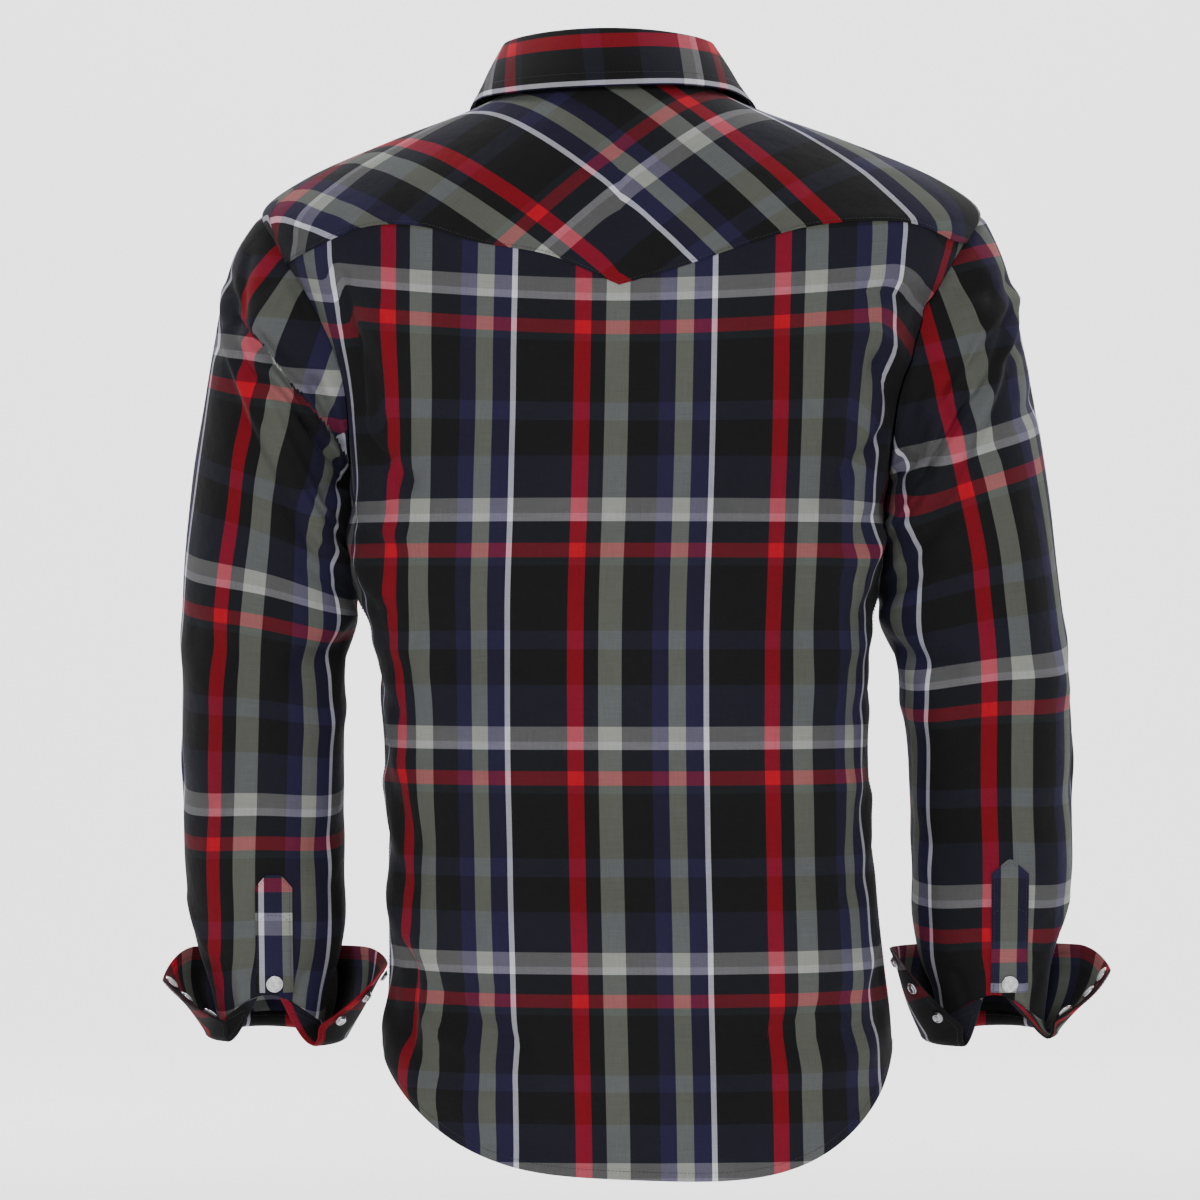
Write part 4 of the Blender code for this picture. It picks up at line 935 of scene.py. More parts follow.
# %% Back
def yoke_seam_points():
    """The yoke's lower edge as (angle, level), its ends on the armholes."""
    x = np.array([point.x for point in YOKE_SEAM])
    z = np.array([point.z for point in YOKE_SEAM])
    point = YOKE_POINT_ROW
    left_x = np.linspace(x[0], x[point], HALF_COLUMNS + 1)
    right_x = np.linspace(x[point], x[-1], HALF_COLUMNS + 1)[1:]
    left_z = through(x[:point + 1], z[:point + 1], left_x)
    right_z = through(x[point:], z[point:], right_x)
    seam = [place_on_back(*place) for place in zip(np.append(left_x, right_x), np.append(left_z, right_z))]
    seam[0] = armhole(yoke_turn(-1), -1)
    seam[-1] = armhole(yoke_turn(1), 1)
    return np.array(seam, float)


SEAM = yoke_seam_points()


def side_levels():
    return np.linspace(SIDE_HEM, ARMPIT_LEVEL, SIDE_ROWS + 1)


def outer_edge(side, turns):
    """A panel's edge: up the side seam, and then along the armhole through the given turns."""
    below = joined(np.full(SIDE_ROWS, side * QUARTER), side_levels()[:-1])
    return np.concatenate([below, on_armhole(turns, side)])


def back_grid():
    """Angles and levels of the back, from the hem up to the yoke."""
    angles = QUARTER * np.linspace(-1, 1, len(SEAM))
    hem = joined(angles, hem_level(angles, BACK_TAIL))
    edges = [outer_edge(side, np.linspace(math.pi, yoke_turn(side), ARM_ROWS_BACK + 1)) for side in SIDES]
    return patch(hem, SEAM, *edges)


def hem_room(grid, tail):
    """Distance of a panel's points from its hem, square to the hem."""
    angle, level = grid[..., 0], grid[..., 1]
    slope = (hem_level(angle + NUDGE, tail) - hem_level(angle - NUDGE, tail)) / (2 * NUDGE * TORSO_RADIUS)
    return (level - hem_level(angle, tail)) / np.sqrt(1 + slope**2)


def hemmed(grid, tail):
    """Lift of the turned hem over a panel."""
    return HEM_THICK * (1 - smooth_step(hem_room(grid, tail), *HEM_FADE))


TUCKED_ROWS = (0.0035, 0.0070)  # the back runs on under the yoke by two more rows
TUCKED_DROPS = (0.0002, 0.0008, 0.0011)  # and its last three rows lie lower
BACK = back_grid()
under_yoke = np.concatenate([BACK] + [BACK[:, -1:] + np.array([0.0, rise]) for rise in TUCKED_ROWS], axis=1)
back_out = hemmed(under_yoke, BACK_TAIL)
back_out[:, -3:] -= np.array(TUCKED_DROPS)
back = panel("cloth_back", under_yoke, "lr", SHIRTING, out=back_out)


# %% Yoke
YOKE_TURN = -225.0  # degrees from the back's grain to the yoke's
YOKE_SHIFT = (0.0450, 0.0410)
YOKE_SHEAR = 0.13  # a bias cut hangs a little out of square
YOKE_LAP = 0.0008  # how far the yoke's edge stands over the back


def yoke_grid():
    """Angles and levels of the yoke: from its outer edge to the neckline, front to back to front."""
    left = on_armhole(np.linspace(yoke_turn(-1), YOKE_FRONT_ARM, ARM_ROWS_YOKE + 1)[::-1], -1)
    right = on_armhole(np.linspace(yoke_turn(1), YOKE_FRONT_ARM, ARM_ROWS_YOKE + 1), 1)
    outer = np.concatenate([left[:-1], SEAM, right[1:]])
    share = (outer[:, 0] - outer[0, 0]) / (outer[-1, 0] - outer[0, 0])
    neck = joined(YOKE_FRONT_NECK * (2 * share - 1), np.full(len(outer), NECKLINE))
    up = np.linspace(0, 1, YOKE_ROWS + 1)[None, :, None]
    return outer[:, None] * (1 - up) + neck[:, None] * up


YOKE = yoke_grid()
yoke_sample = YOKE[::4, ::5]
yoke_flat = refined(flattened(plain_torso(yoke_sample[..., 0], yoke_sample[..., 1])), *YOKE.shape[:2])
yoke_edge = np.zeros(YOKE.shape[:2])
yoke_edge[ARM_ROWS_YOKE:-ARM_ROWS_YOKE, :3] = YOKE_LAP * np.array([1.0, 1.0, 0.6])
yoke_check = turned(yoke_flat, YOKE_TURN, YOKE_SHIFT)
yoke_check[..., 1] += YOKE_SHEAR * yoke_check[..., 0]
yoke = panel("cloth_yoke", YOKE, "t", SHIRTING, flat=yoke_check, out=yoke_edge)


# %% [markdown]
# ## Fronts and snap band
# The fronts mirror the back and run up to the yoke's front edges. The band is a folded strip that
# lies on the wearer's left front and over the right one. It could be drawn on as a line, but its two
# edges and its extra thickness show in raking light, so it is a strip with its own wall.

# %% Fronts
NEAR_BAND = 0.6  # the band is looked for within this angle of the middle
UNDER_COLUMNS = 7
BAND_COLUMNS = 11


def band_angle(level, x_offset, side):
    """The angle on the front at which the surface is at the band's centre line plus an offset."""
    angles = np.linspace(math.pi - NEAR_BAND, math.pi + NEAR_BAND, 241)
    rows = []
    for one_level in np.atleast_1d(level):
        x = plain_torso(angles, one_level)[:, 0]
        rows.append(np.interp(body_middle(one_level) + x_offset, x[::-1], angles[::-1]))
    return np.array(rows) - (2 * math.pi if side < 0 else 0.0)


def front_levels():
    """Levels up the front edge, from the hem to the neckline."""
    return np.linspace(hem_level(math.pi, FRONT_TAIL), NECKLINE, SIDE_ROWS + ARM_ROWS_FRONT + 1)


def band_columns(levels, count):
    """Columns of (angle, level) places across the width of the band."""
    offsets = np.linspace(-BAND_WIDTH / 2, BAND_WIDTH / 2, count)
    return np.stack([joined(band_angle(levels, x, 1), levels) for x in offsets])


def front_grid(side, x_edge):
    """Angles and levels of a front, from its edge at the band to its side seam and armhole."""
    levels = front_levels()
    edge = joined(band_angle(levels, x_edge, side), levels)
    outer = outer_edge(side, np.linspace(-math.pi, YOKE_FRONT_ARM, ARM_ROWS_FRONT + 1))
    share = np.linspace(0, 1, NECK_STEPS_FRONT + 1)[:-1]
    neck_end = side * YOKE_FRONT_NECK
    neck = joined(edge[-1, 0] + share * (neck_end - edge[-1, 0]), np.full(len(share), NECKLINE))
    shoulder_share = np.linspace(0, 1, YOKE_ROWS // 2 + 1)[:, None]
    shoulder = np.array([neck_end, NECKLINE]) * (1 - shoulder_share) + outer[-1] * shoulder_share
    top = np.concatenate([neck, shoulder])
    angles = edge[0, 0] + np.linspace(0, 1, len(top)) * (side * QUARTER - edge[0, 0])
    hem = joined(angles, hem_level(angles, FRONT_TAIL))
    hem[0] = edge[0]
    return patch(hem, top, edge, outer)


FRONT_LEFT = front_grid(-1, -BAND_WIDTH / 2)
FRONT_RIGHT = front_grid(1, BAND_WIDTH / 2 + UNDERLAP_STEP)
front_left = panel("cloth_front_left", FRONT_LEFT, "lrt", SHIRTING, flat=front_flat,
                   out=hemmed(FRONT_LEFT, FRONT_TAIL))

right_grid = np.concatenate([band_columns(FRONT_RIGHT[0, :, 1], UNDER_COLUMNS), FRONT_RIGHT])
right_out = hemmed(right_grid, FRONT_TAIL)
right_out[:UNDER_COLUMNS] -= CLOTH + LAID_ON + HEM_THICK
front_right = panel("cloth_front_right", right_grid, "rt", SHIRTING, flat=front_flat, out=right_out)

# %% Snap band
BAND_THICK = 0.0014
BAND_LIFT = 0.0004
BAND_FLAT_SHIFT = (0.031, 0.0)  # the band is cut from another place of the check
BAND = band_columns(front_levels(), BAND_COLUMNS)
band_flat = front_flat(BAND[..., 0], BAND[..., 1]) + BAND_FLAT_SHIFT
band = panel("cloth_band", BAND, "", FUSED_SHIRTING, flat=band_flat, out=BAND_LIFT, thickness=BAND_THICK)

# %% [markdown]
# ## Sleeves
# Each sleeve is one piece sewn into a tube. Rings that follow the arm could be lofted with a curve
# and a bevel, but the armhole isn't round, so the rings are worked out one by one, from the oval of
# the armhole down to the wrist. The creases gather at the armhole, the elbow and the cuff.

# %% Rings of the sleeves
SleeveRing = namedtuple("SleeveRing", "x_outer z_outer x_inner z_inner y_mid half_depth square rise")
SLEEVE_LEFT = (
    SleeveRing(-0.269, -0.1, -0.1912, -0.263, 0.004, 0.064, 2.2, 0.0),
    SleeveRing(-0.2785, -0.13, -0.19, -0.274, 0.006, 0.066, 2.2, 0.0),
    SleeveRing(-0.2845, -0.165, -0.189, -0.29, 0.008, 0.0655, 2.2, 0.0),
    SleeveRing(-0.292, -0.208, -0.1876, -0.31, 0.01, 0.0645, 2.2, 0.0),
    SleeveRing(-0.3, -0.257, -0.1834, -0.336, 0.012, 0.062, 2.2, 0.0),
    SleeveRing(-0.3055, -0.312, -0.1868, -0.358, 0.013, 0.06, 2.2, 0.0),
    SleeveRing(-0.3072, -0.37, -0.1928, -0.4, 0.015, 0.058, 2.2, 0.0),
    SleeveRing(-0.3076, -0.43, -0.1938, -0.445, 0.017, 0.056, 2.2, 0.0),
    SleeveRing(-0.3074, -0.49, -0.1938, -0.492, 0.02, 0.0535, 2.2, 0.0),
    SleeveRing(-0.3058, -0.532, -0.1936, -0.532, 0.022, 0.05, 2.2, 0.0),
    SleeveRing(-0.3015, -0.566, -0.1932, -0.566, 0.024, 0.0465, 2.2, 0.0),
    SleeveRing(-0.295, -0.594, -0.1975, -0.594, 0.026, 0.043, 2.1, 0.2),
    SleeveRing(-0.288, -0.62, -0.206, -0.62, 0.027, 0.039, 2.0, 0.6),
    SleeveRing(-0.283, -0.642, -0.208, -0.642, 0.028, 0.0365, 2.0, 1.0),
)
SLEEVE_RIGHT = (
    SleeveRing(0.2665, -0.1, 0.19, -0.263, 0.004, 0.064, 2.2, 0.0),
    SleeveRing(0.2755, -0.132, 0.187, -0.274, 0.006, 0.066, 2.2, 0.0),
    SleeveRing(0.2825, -0.166, 0.1835, -0.29, 0.008, 0.0655, 2.2, 0.0),
    SleeveRing(0.2915, -0.208, 0.182, -0.31, 0.01, 0.0645, 2.2, 0.0),
    SleeveRing(0.3, -0.262, 0.1806, -0.336, 0.011, 0.062, 2.2, 0.0),
    SleeveRing(0.3065, -0.318, 0.184, -0.358, 0.013, 0.06, 2.2, 0.0),
    SleeveRing(0.3125, -0.372, 0.1955, -0.398, 0.015, 0.058, 2.2, 0.0),
    SleeveRing(0.317, -0.43, 0.2015, -0.44, 0.017, 0.056, 2.2, 0.0),
    SleeveRing(0.3186, -0.49, 0.2038, -0.492, 0.02, 0.0535, 2.2, 0.0),
    SleeveRing(0.3175, -0.532, 0.205, -0.532, 0.022, 0.05, 2.2, 0.0),
    SleeveRing(0.3125, -0.566, 0.206, -0.566, 0.024, 0.0465, 2.2, 0.0),
    SleeveRing(0.3055, -0.594, 0.211, -0.594, 0.026, 0.043, 2.1, 0.2),
    SleeveRing(0.301, -0.62, 0.221, -0.62, 0.027, 0.039, 2.0, 0.6),
    SleeveRing(0.299, -0.642, 0.224, -0.642, 0.028, 0.0365, 2.0, 1.0),
)
SLEEVE_RINGS = {-1: SLEEVE_LEFT, 1: SLEEVE_RIGHT}
SLIT_RISE = 0.0230  # how far the cuff's seam rises at the slit
FAR_RISE = 0.0070  # and on the side away from it
LEAD_ROUND = 1.25  # how much wider and higher than the armhole
LEAD_HIGH = 1.14  # the ring inside it is
SLEEVE_RADIUS = 0.056
SLEEVE_LENGTH = 0.58
print("sleeves of", len(SLEEVE_LEFT), "rings")

# %% Creases of the sleeves
# Here a place is the turn round the sleeve in degrees, 0 on the outside, 90 at the back and 180 on
# the side of the body, and the share of the way from the armhole to the wrist.
SLEEVE_FOLDS = (
    # broad ones
    Fold(40, 0.175, 128, 0.275, 0.016, 0.0045),
    Fold(50, 0.245, 140, 0.345, 0.015, -0.004),
    Fold(160, 0.42, 95, 0.48, 0.016, 0.0035),
    Fold(330, 0.23, 230, 0.32, 0.016, 0.0045),
    Fold(200, 0.43, 262, 0.5, 0.016, 0.0035),
    # drag lines from the shoulder across the back of the sleeve
    Fold(22, 0.11, 78, 0.215, 0.0075, -0.0028),
    Fold(14, 0.135, 100, 0.29, 0.008, 0.0024),
    Fold(30, 0.19, 120, 0.33, 0.0075, -0.0026),
    Fold(70, 0.16, 150, 0.27, 0.0085, 0.0022),
    # under the arm
    Fold(120, 0.25, 160, 0.29, 0.0085, -0.0026),
    Fold(182, 0.06, 182, 0.33, 0.016, 0.0036),
    Fold(110, 0.31, 178, 0.35, 0.0085, 0.0024),
    Fold(116, 0.37, 176, 0.395, 0.008, -0.0024),
    # elbow
    Fold(170, 0.455, 120, 0.505, 0.0095, -0.0022),
    Fold(8, 0.5, 60, 0.545, 0.011, 0.0018),
    Fold(176, 0.53, 128, 0.56, 0.01, 0.002),
    Fold(2, 0.61, 46, 0.64, 0.011, -0.0018),
    Fold(178, 0.64, 130, 0.69, 0.011, -0.0018),
    # above the cuff
    Fold(10, 0.76, 44, 0.86, 0.0095, 0.0018),
    Fold(150, 0.74, 138, 0.88, 0.01, -0.0018),
    Fold(40, 0.9, 48, 0.99, 0.006, -0.0016),
    Fold(62, 0.89, 60, 0.99, 0.0055, 0.0014),
    Fold(128, 0.9, 120, 0.99, 0.006, -0.0016),
    # the hidden side, much the same
    Fold(338, 0.13, 275, 0.24, 0.0085, -0.0024),
    Fold(330, 0.33, 250, 0.38, 0.0095, -0.0022),
    Fold(190, 0.3, 240, 0.345, 0.009, -0.0022),
    Fold(184, 0.48, 230, 0.52, 0.0095, -0.0022),
    Fold(350, 0.6, 300, 0.64, 0.011, 0.0018),
    Fold(200, 0.72, 250, 0.78, 0.011, -0.0018),
    Fold(320, 0.88, 312, 0.98, 0.008, -0.0014),
)
LEFT_SLEEVE_FOLDS = (
    # a deep pleat from the back of the armhole, with a lip below it and a groove under the lip
    Fold(42, 0.15, 143, 0.028, 0.0046, -0.005),
    Fold(72, 0.098, 108, 0.04, 0.0048, -0.0062),
    Fold(106, 0.042, 144, 0.024, 0.005, -0.0055),
    Fold(72, 0.142, 118, 0.064, 0.008, 0.0052),
    Fold(116, 0.066, 144, 0.034, 0.006, 0.004),
    Fold(68, 0.18, 112, 0.108, 0.006, -0.0044),
    Fold(112, 0.108, 146, 0.062, 0.0065, -0.0036),
    # soft pulls over the shoulder
    Fold(35, 0.055, 52, 0.118, 0.007, -0.0034),
    Fold(70, 0.03, 58, 0.15, 0.0085, 0.0042),
    Fold(38, 0.125, 26, 0.208, 0.0075, -0.0034),
    # under the arm and at the elbow
    Fold(158, 0.1, 131, 0.228, 0.008, -0.004),
    Fold(164, 0.305, 124, 0.318, 0.0085, 0.0036),
    Fold(162, 0.455, 116, 0.495, 0.0085, -0.0036),
    Fold(40, 0.492, 84, 0.506, 0.009, -0.0026),
)
RIGHT_SLEEVE_FOLDS = (
    # pulls that fan out from the back of the armhole
    Fold(102, 0.022, 97, 0.09, 0.006, -0.0042),
    Fold(97, 0.09, 86, 0.188, 0.0065, -0.0048),
    Fold(86, 0.19, 114, 0.208, 0.0055, -0.0048),
    Fold(112, 0.06, 108, 0.16, 0.0085, 0.0042),
    Fold(24, 0.136, 72, 0.106, 0.0085, 0.0046),
    Fold(20, 0.204, 74, 0.198, 0.0075, -0.0042),
    Fold(60, 0.03, 46, 0.09, 0.007, -0.0036),
    # under the arm and at the elbow
    Fold(146, 0.05, 112, 0.218, 0.008, -0.0044),
    Fold(150, 0.236, 106, 0.342, 0.0085, 0.004),
    Fold(8, 0.276, 64, 0.284, 0.0085, -0.0034),
    Fold(158, 0.47, 112, 0.5, 0.0085, -0.0034),
    Fold(24, 0.54, 70, 0.52, 0.009, 0.0026),
)
ALL_SLEEVE_FOLDS = {-1: SLEEVE_FOLDS + LEFT_SLEEVE_FOLDS, 1: SLEEVE_FOLDS + RIGHT_SLEEVE_FOLDS}
print({side: len(folds) for side, folds in ALL_SLEEVE_FOLDS.items()}, "creases on the sleeves")


# %% The sleeve's surface
SLEEVE_SEEDS = {-1: 6, 1: 8}


def cuff_rise(away):
    """How far the cuff's seam rises. Away is 1 on the side away from the slit and -1 at the slit."""
    return SLIT_RISE * ((1 - away) / 2) ** 5 + FAR_RISE * ((1 + away) / 2) ** 2


def sleeve_ring(row, turn):
    """One ring of a sleeve."""
    reach = oval_reach(turn, row.square)
    outer = np.array([row.x_outer, 0.0, row.z_outer])
    inner = np.array([row.x_inner, 0.0, row.z_inner])
    centre = (outer + inner) / 2 + np.array([0.0, row.y_mid, 0.0])
    ring = centre + (np.cos(turn) * reach)[:, None] * (outer - inner) / 2
    ring[:, 1] -= np.sin(turn) * reach * row.half_depth
    ring[:, 2] += row.rise * cuff_rise(-np.sin(turn))
    return ring


def sleeve_rings(side, turn):
    """The sleeve's rings at the given turns: one inside the armhole, the armhole, then the table."""
    table = SLEEVE_RINGS[side]
    angle, level = armhole(turn, side)
    seam = torso(angle, level)
    inside = torso(side * QUARTER + (angle - side * QUARTER) * LEAD_ROUND,
                   ARMHOLE_MIDDLE + (level - ARMHOLE_MIDDLE) * LEAD_HIGH)
    lead = smooth_step(np.cos(turn), -0.3, 0.5)[:, None]
    first = sleeve_ring(table[0], turn)
    rings = [seam - (first - seam) * (1 - lead) + (inside - seam) * lead, seam, first]
    rings += [sleeve_ring(row, turn) for row in table[1:]]
    return np.stack(rings)


def plain_sleeve(side, turn, along):
    """Points of a sleeve without creases, as rows of rings. Along is 0 at the armhole, 1 at the cuff."""
    rings = sleeve_rings(side, turn)
    return through(np.arange(len(rings)) - 1.0, rings, along * (len(rings) - 2))


def sleeve_normals(side, turn, along):
    """The outward directions of a sleeve."""
    low, high = np.clip(along - NUDGE, 0, 1), np.clip(along + NUDGE, 0, 1)
    around = plain_sleeve(side, turn + NUDGE, along) - plain_sleeve(side, turn - NUDGE, along)
    downward = plain_sleeve(side, turn, high) - plain_sleeve(side, turn, low)
    return side * unit(np.cross(around, downward))


def sleeve_height(side, turn, along):
    """Height of the creases of a sleeve, none at the seams."""
    place = np.broadcast_to(turn % (2 * math.pi), (len(along), len(turn)))
    down = along[:, None] + 0 * place
    height = fold_height(ALL_SLEEVE_FOLDS[side], SLEEVE_RADIUS, SLEEVE_LENGTH, place, down)
    swell = unevenness(np.cos(place) * SLEEVE_RADIUS * 1.6 + np.sin(place) * SLEEVE_RADIUS,
                       down * SLEEVE_LENGTH, SLEEVE_SEEDS[side])
    return height + swell * smooth_step(down, 0.02, 0.12) * (1 - smooth_step(down, 0.93, 1.0))


def sleeve(side, turn, along, out=0.0):
    """Points of a sleeve with its creases, moved out along its normals."""
    points = plain_sleeve(side, turn, along)
    height = sleeve_height(side, turn, along) + out
    return points + height[..., None] * sleeve_normals(side, turn, along)


# %% Both sleeves
SLEEVE_COLUMNS = 150
CLOSING_LINE = math.pi  # where the tube is closed, on the side of the body
SLEEVE_ROWS = 190
ARMHOLE_DIP = 0.0020  # the sleeve is drawn in at the armhole seam, and back out
ARMHOLE_DIP_END = 0.022  # by this share of the sleeve's length
ROWS_CROWDED = 1.05  # the grid's rows lie closer together near the armhole
RINGS_FOLLOWED = 0.6  # how far the check's rows follow the slanting rings
SLEEVE_SAG = 0.013  # how much lower the rows hang at the back line
SAG_LEVEL = 0.75  # the sine of the turn where it is nothing
# where the back line of each sleeve lies in the check, and where its rows start, by the share of
# the way down from the armhole
GRAIN_ALONG = (0.0, 0.15, 0.25, 0.4, 0.5, 0.6, 0.7, 0.85, 1.0)
GRAIN = {-1: (0.0800, 0.0840, 0.0840, 0.0810, 0.0805, 0.0820, 0.0850, 0.0895, 0.0950),
         1: (0.0490, 0.0520, 0.0500, 0.0430, 0.0485, 0.0545, 0.0535, 0.0500, 0.0500)}
ROWS_START = {-1: (0.0250, 0.0230, 0.0150, 0.0020, -0.0005, -0.0010, -0.0015, -0.0010, -0.0010),
              1: (0.0680, 0.0680, 0.0680, 0.0650, 0.0610, 0.0605, 0.0620, 0.0650, 0.0700)}
HEAD_ALONG = 0.35  # above this ring the check runs straight up the arm
HEAD_FADE = (0.17, 0.42)
HEAD_LEAN = {-1: math.radians(9.8), 1: math.radians(13.0)}


def straight_head(side, turn, points, ring, ring_flat):
    """Flat coordinates that run straight up the arm from one whole ring of it."""
    centre = ring.mean(axis=0)
    round_ring = np.linalg.norm(np.diff(ring, axis=0), axis=-1).sum()
    lean = HEAD_LEAN[side]
    up_arm = np.array([-side * math.sin(lean), 0.0, math.cos(lean)])
    outward = np.array([side * math.cos(lean), 0.0, math.sin(lean)])

    def measured(places):
        away = places - centre
        round_arm = np.arctan2(-away[..., 1], away @ outward)
        round_arm += 2 * math.pi * np.round((turn - round_arm) / (2 * math.pi))
        return joined(-side * round_arm * round_ring / (2 * math.pi), away @ up_arm)

    return measured(points) + np.median(ring_flat - measured(ring), axis=0)


# where a pleat doubles over, the check jumps: above its line it is moved by u and v
Slip = namedtuple("Slip", "turn_start along_start turn_end along_end u v spread")
PLEATS = {-1: (Slip(36, 0.150, 143, 0.026, 0.016, 0.016, 0.060),), 1: ()}


def slipped(side, turn, along):
    scale = np.array([SLEEVE_RADIUS, SLEEVE_LENGTH])
    here = joined(*np.broadcast_arrays(turn, along[:, None])) * scale
    moved = np.zeros_like(here)
    for slip in PLEATS[side]:
        start = np.array([math.radians(slip.turn_start), slip.along_start]) * scale
        run = np.array([math.radians(slip.turn_end), slip.along_end]) * scale - start
        share = (here - start) @ run / (run @ run)
        above = (here - start) @ np.array([run[1], -run[0]]) / np.linalg.norm(run)
        inside = smooth_step(share, 0.0, 0.2) * (1 - smooth_step(share, 0.95, 1.15))
        amount = inside * (above > 0) * np.exp(-((above / slip.spread) ** 2))
        moved += amount[..., None] * np.array([slip.u, slip.v])
    return moved


def sleeve_flat(side, turn, along):
    """Flat cloth coordinates of a sleeve: round from its back line, and up from the wrist."""
    points = plain_sleeve(side, turn, along)
    around = lengths_up(points)
    start = np.array([np.interp(QUARTER, turn, row) for row in around])[:, None]
    downward = lengths_along(points)
    up = downward[-1:] - downward
    mean = up.mean(axis=1, keepdims=True)
    grain = through(GRAIN_ALONG, GRAIN[side], along)[:, None]
    u = -side * (around - start) + grain
    first_row = through(GRAIN_ALONG, ROWS_START[side], along)[:, None]
    sag = SLEEVE_SAG * (np.sin(turn) - SAG_LEVEL)
    v = up * (1 - RINGS_FOLLOWED) + mean * RINGS_FOLLOWED + first_row + sag
    flat = joined(u, v)
    row = int(np.argmin(np.abs(along - HEAD_ALONG)))
    head = straight_head(side, turn, points, points[row], flat[row])
    below = smooth_step(along, *HEAD_FADE)[:, None, None]
    return flat * below + head * (1 - below) + slipped(side, turn, along)


def make_sleeve(side):
    """A sleeve, from a whole turn before its closing line round to that line."""
    turn = np.linspace(0, 2 * math.pi, SLEEVE_COLUMNS + 1) + CLOSING_LINE - 2 * math.pi
    along = np.linspace(0, 1, SLEEVE_ROWS + 1) ** ROWS_CROWDED
    lift = -CLOTH / 2 - ARMHOLE_DIP * (1 - smooth_step(along, 0.0, ARMHOLE_DIP_END))[:, None]
    place = (side, turn, along)
    grids = (sleeve(*place, lift), sleeve_normals(*place), sleeve_flat(*place))
    points, normals, flat = (np.moveaxis(grid, 0, 1) for grid in grids)
    return cloth_piece(f"cloth_sleeve_{SIDES[side]}", points, normals, CLOTH, flat, SHIRTING, closed=True)


sleeve_left = make_sleeve(-1)
sleeve_right = make_sleeve(1)

# %% [markdown]
# ## Collar and stand
# The stand is a stiff strip round the neck. The collar rises from it, rolls over and falls to its
# edge, with two long points in front. A flat shape could be bent by a simulation, but the roll has to
# sit on the stand exactly, so rows are laid from the stand's upper edge over the roll and down.

# %% Collar stand
Oval = namedtuple("Oval", "x_left x_right y_back y_side y_front z_back z_side z_front")
STAND_COLUMNS = 161
STAND_ROWS = 11
STAND_FLAT_RISE = 0.010  # where the stand's lower edge lies in the warp
STAND_TOP = Oval(-0.0758, 0.0600, -0.0500, 0.0060, 0.0620, 0.0465, 0.0415, -0.0170)


def stand_top(angle):
    """The upper edge of the collar stand."""
    top = STAND_TOP
    along = np.cos(angle)
    x = (top.x_left + top.x_right) / 2 + np.sin(angle) * (top.x_right - top.x_left) / 2
    y = top.y_side + along * np.where(along > 0, top.y_back - top.y_side, top.y_side - top.y_front)
    z = top.z_side + along**2 * (np.where(along > 0, top.z_back, top.z_front) - top.z_side)
    return joined(x, y, z)


def level_outward(angle):
    """The level direction away from the neck's middle."""
    return joined(np.sin(angle), -np.cos(angle), 0 * angle)


def band_edge(offset, side):
    return float(band_angle(NECKLINE, offset, side)[0])


def stand_grid():
    """The stand runs round the neck and its right end tucks behind its left end."""
    ends = (band_edge(BAND_WIDTH / 2, -1), band_edge(-BAND_WIDTH / 2, 1))
    angles = np.linspace(*ends, STAND_COLUMNS)
    over = band_edge(BAND_WIDTH / 2 + UNDERLAP_STEP, 1)
    tuck = smooth_step(angles, over, band_edge(BAND_WIDTH / 2, 1))[:, None]
    behind = level_outward(angles) * (FUSED + LAID_ON) * tuck + np.array([0, 0, CLOTH + LAID_ON]) * tuck
    bottom = torso(angles, NECKLINE) + np.array([0, 0, SEAM_GAP]) - behind
    top = stand_top(angles) - behind
    return np.stack([bottom * (1 - h) + top * h for h in np.linspace(0, 1, STAND_ROWS)], axis=1)


stand_points = stand_grid()
stand_normals = grid_normals(stand_points)
stand_flat = joined(lengths_up(stand_points) + STAND_FLAT_RISE, lengths_along(stand_points))
stand = cloth_piece("cloth_stand", stand_points - stand_normals * FUSED / 2, stand_normals, FUSED,
                    stand_flat, FUSED_SHIRTING)

# %% Collar
COLLAR_COLUMNS = 241
COLLAR_ROWS = 31
COLLAR_START = math.radians(176)  # half the angle that the roll goes round
COLLAR_END = math.radians(150)  # and half that of the fall's edge
COLLAR_ROLL = ((0.0, SEAM_GAP), (0.0004, 0.0026), (0.0022, 0.0046), (0.0046, 0.0044), (0.0062, 0.0022))
COLLAR_DROPS = (0.15, 0.3, 0.475, 0.65, 0.825, 1.0)
COLLAR_BOW = 0.0016
Fall = namedtuple("Fall", "angle below_neckline lift")
COLLAR_EDGE = (
    Fall(-150, 0.068, 0.0055),
    Fall(-138, 0.05, 0.005),
    Fall(-120, 0.03, 0.0045),
    Fall(-90, 0.015, 0.0042),
    Fall(-45, 0.0165, 0.0055),
    Fall(0, 0.016, 0.006),
    Fall(40, 0.0125, 0.0056),
    Fall(90, 0.0125, 0.0042),
    Fall(120, 0.03, 0.0045),
    Fall(138, 0.05, 0.005),
    Fall(150, 0.068, 0.0055),
)
# where the check's warp lies on the collar, by the length up from its edge: a white stripe runs
# along the edge and a red one under the roll
COLLAR_RISES = (0.0, 0.0042, 0.0304, 0.0428, 0.0600)
COLLAR_WARP = (0.0005, 0.0046, 0.0439, 0.0548, 0.0740)
COLLAR_ROW_X = 0.0440  # a grey row of the check starts here
COLLAR_STRETCH = 1.06  # the fall's edge is pulled longer than it was cut


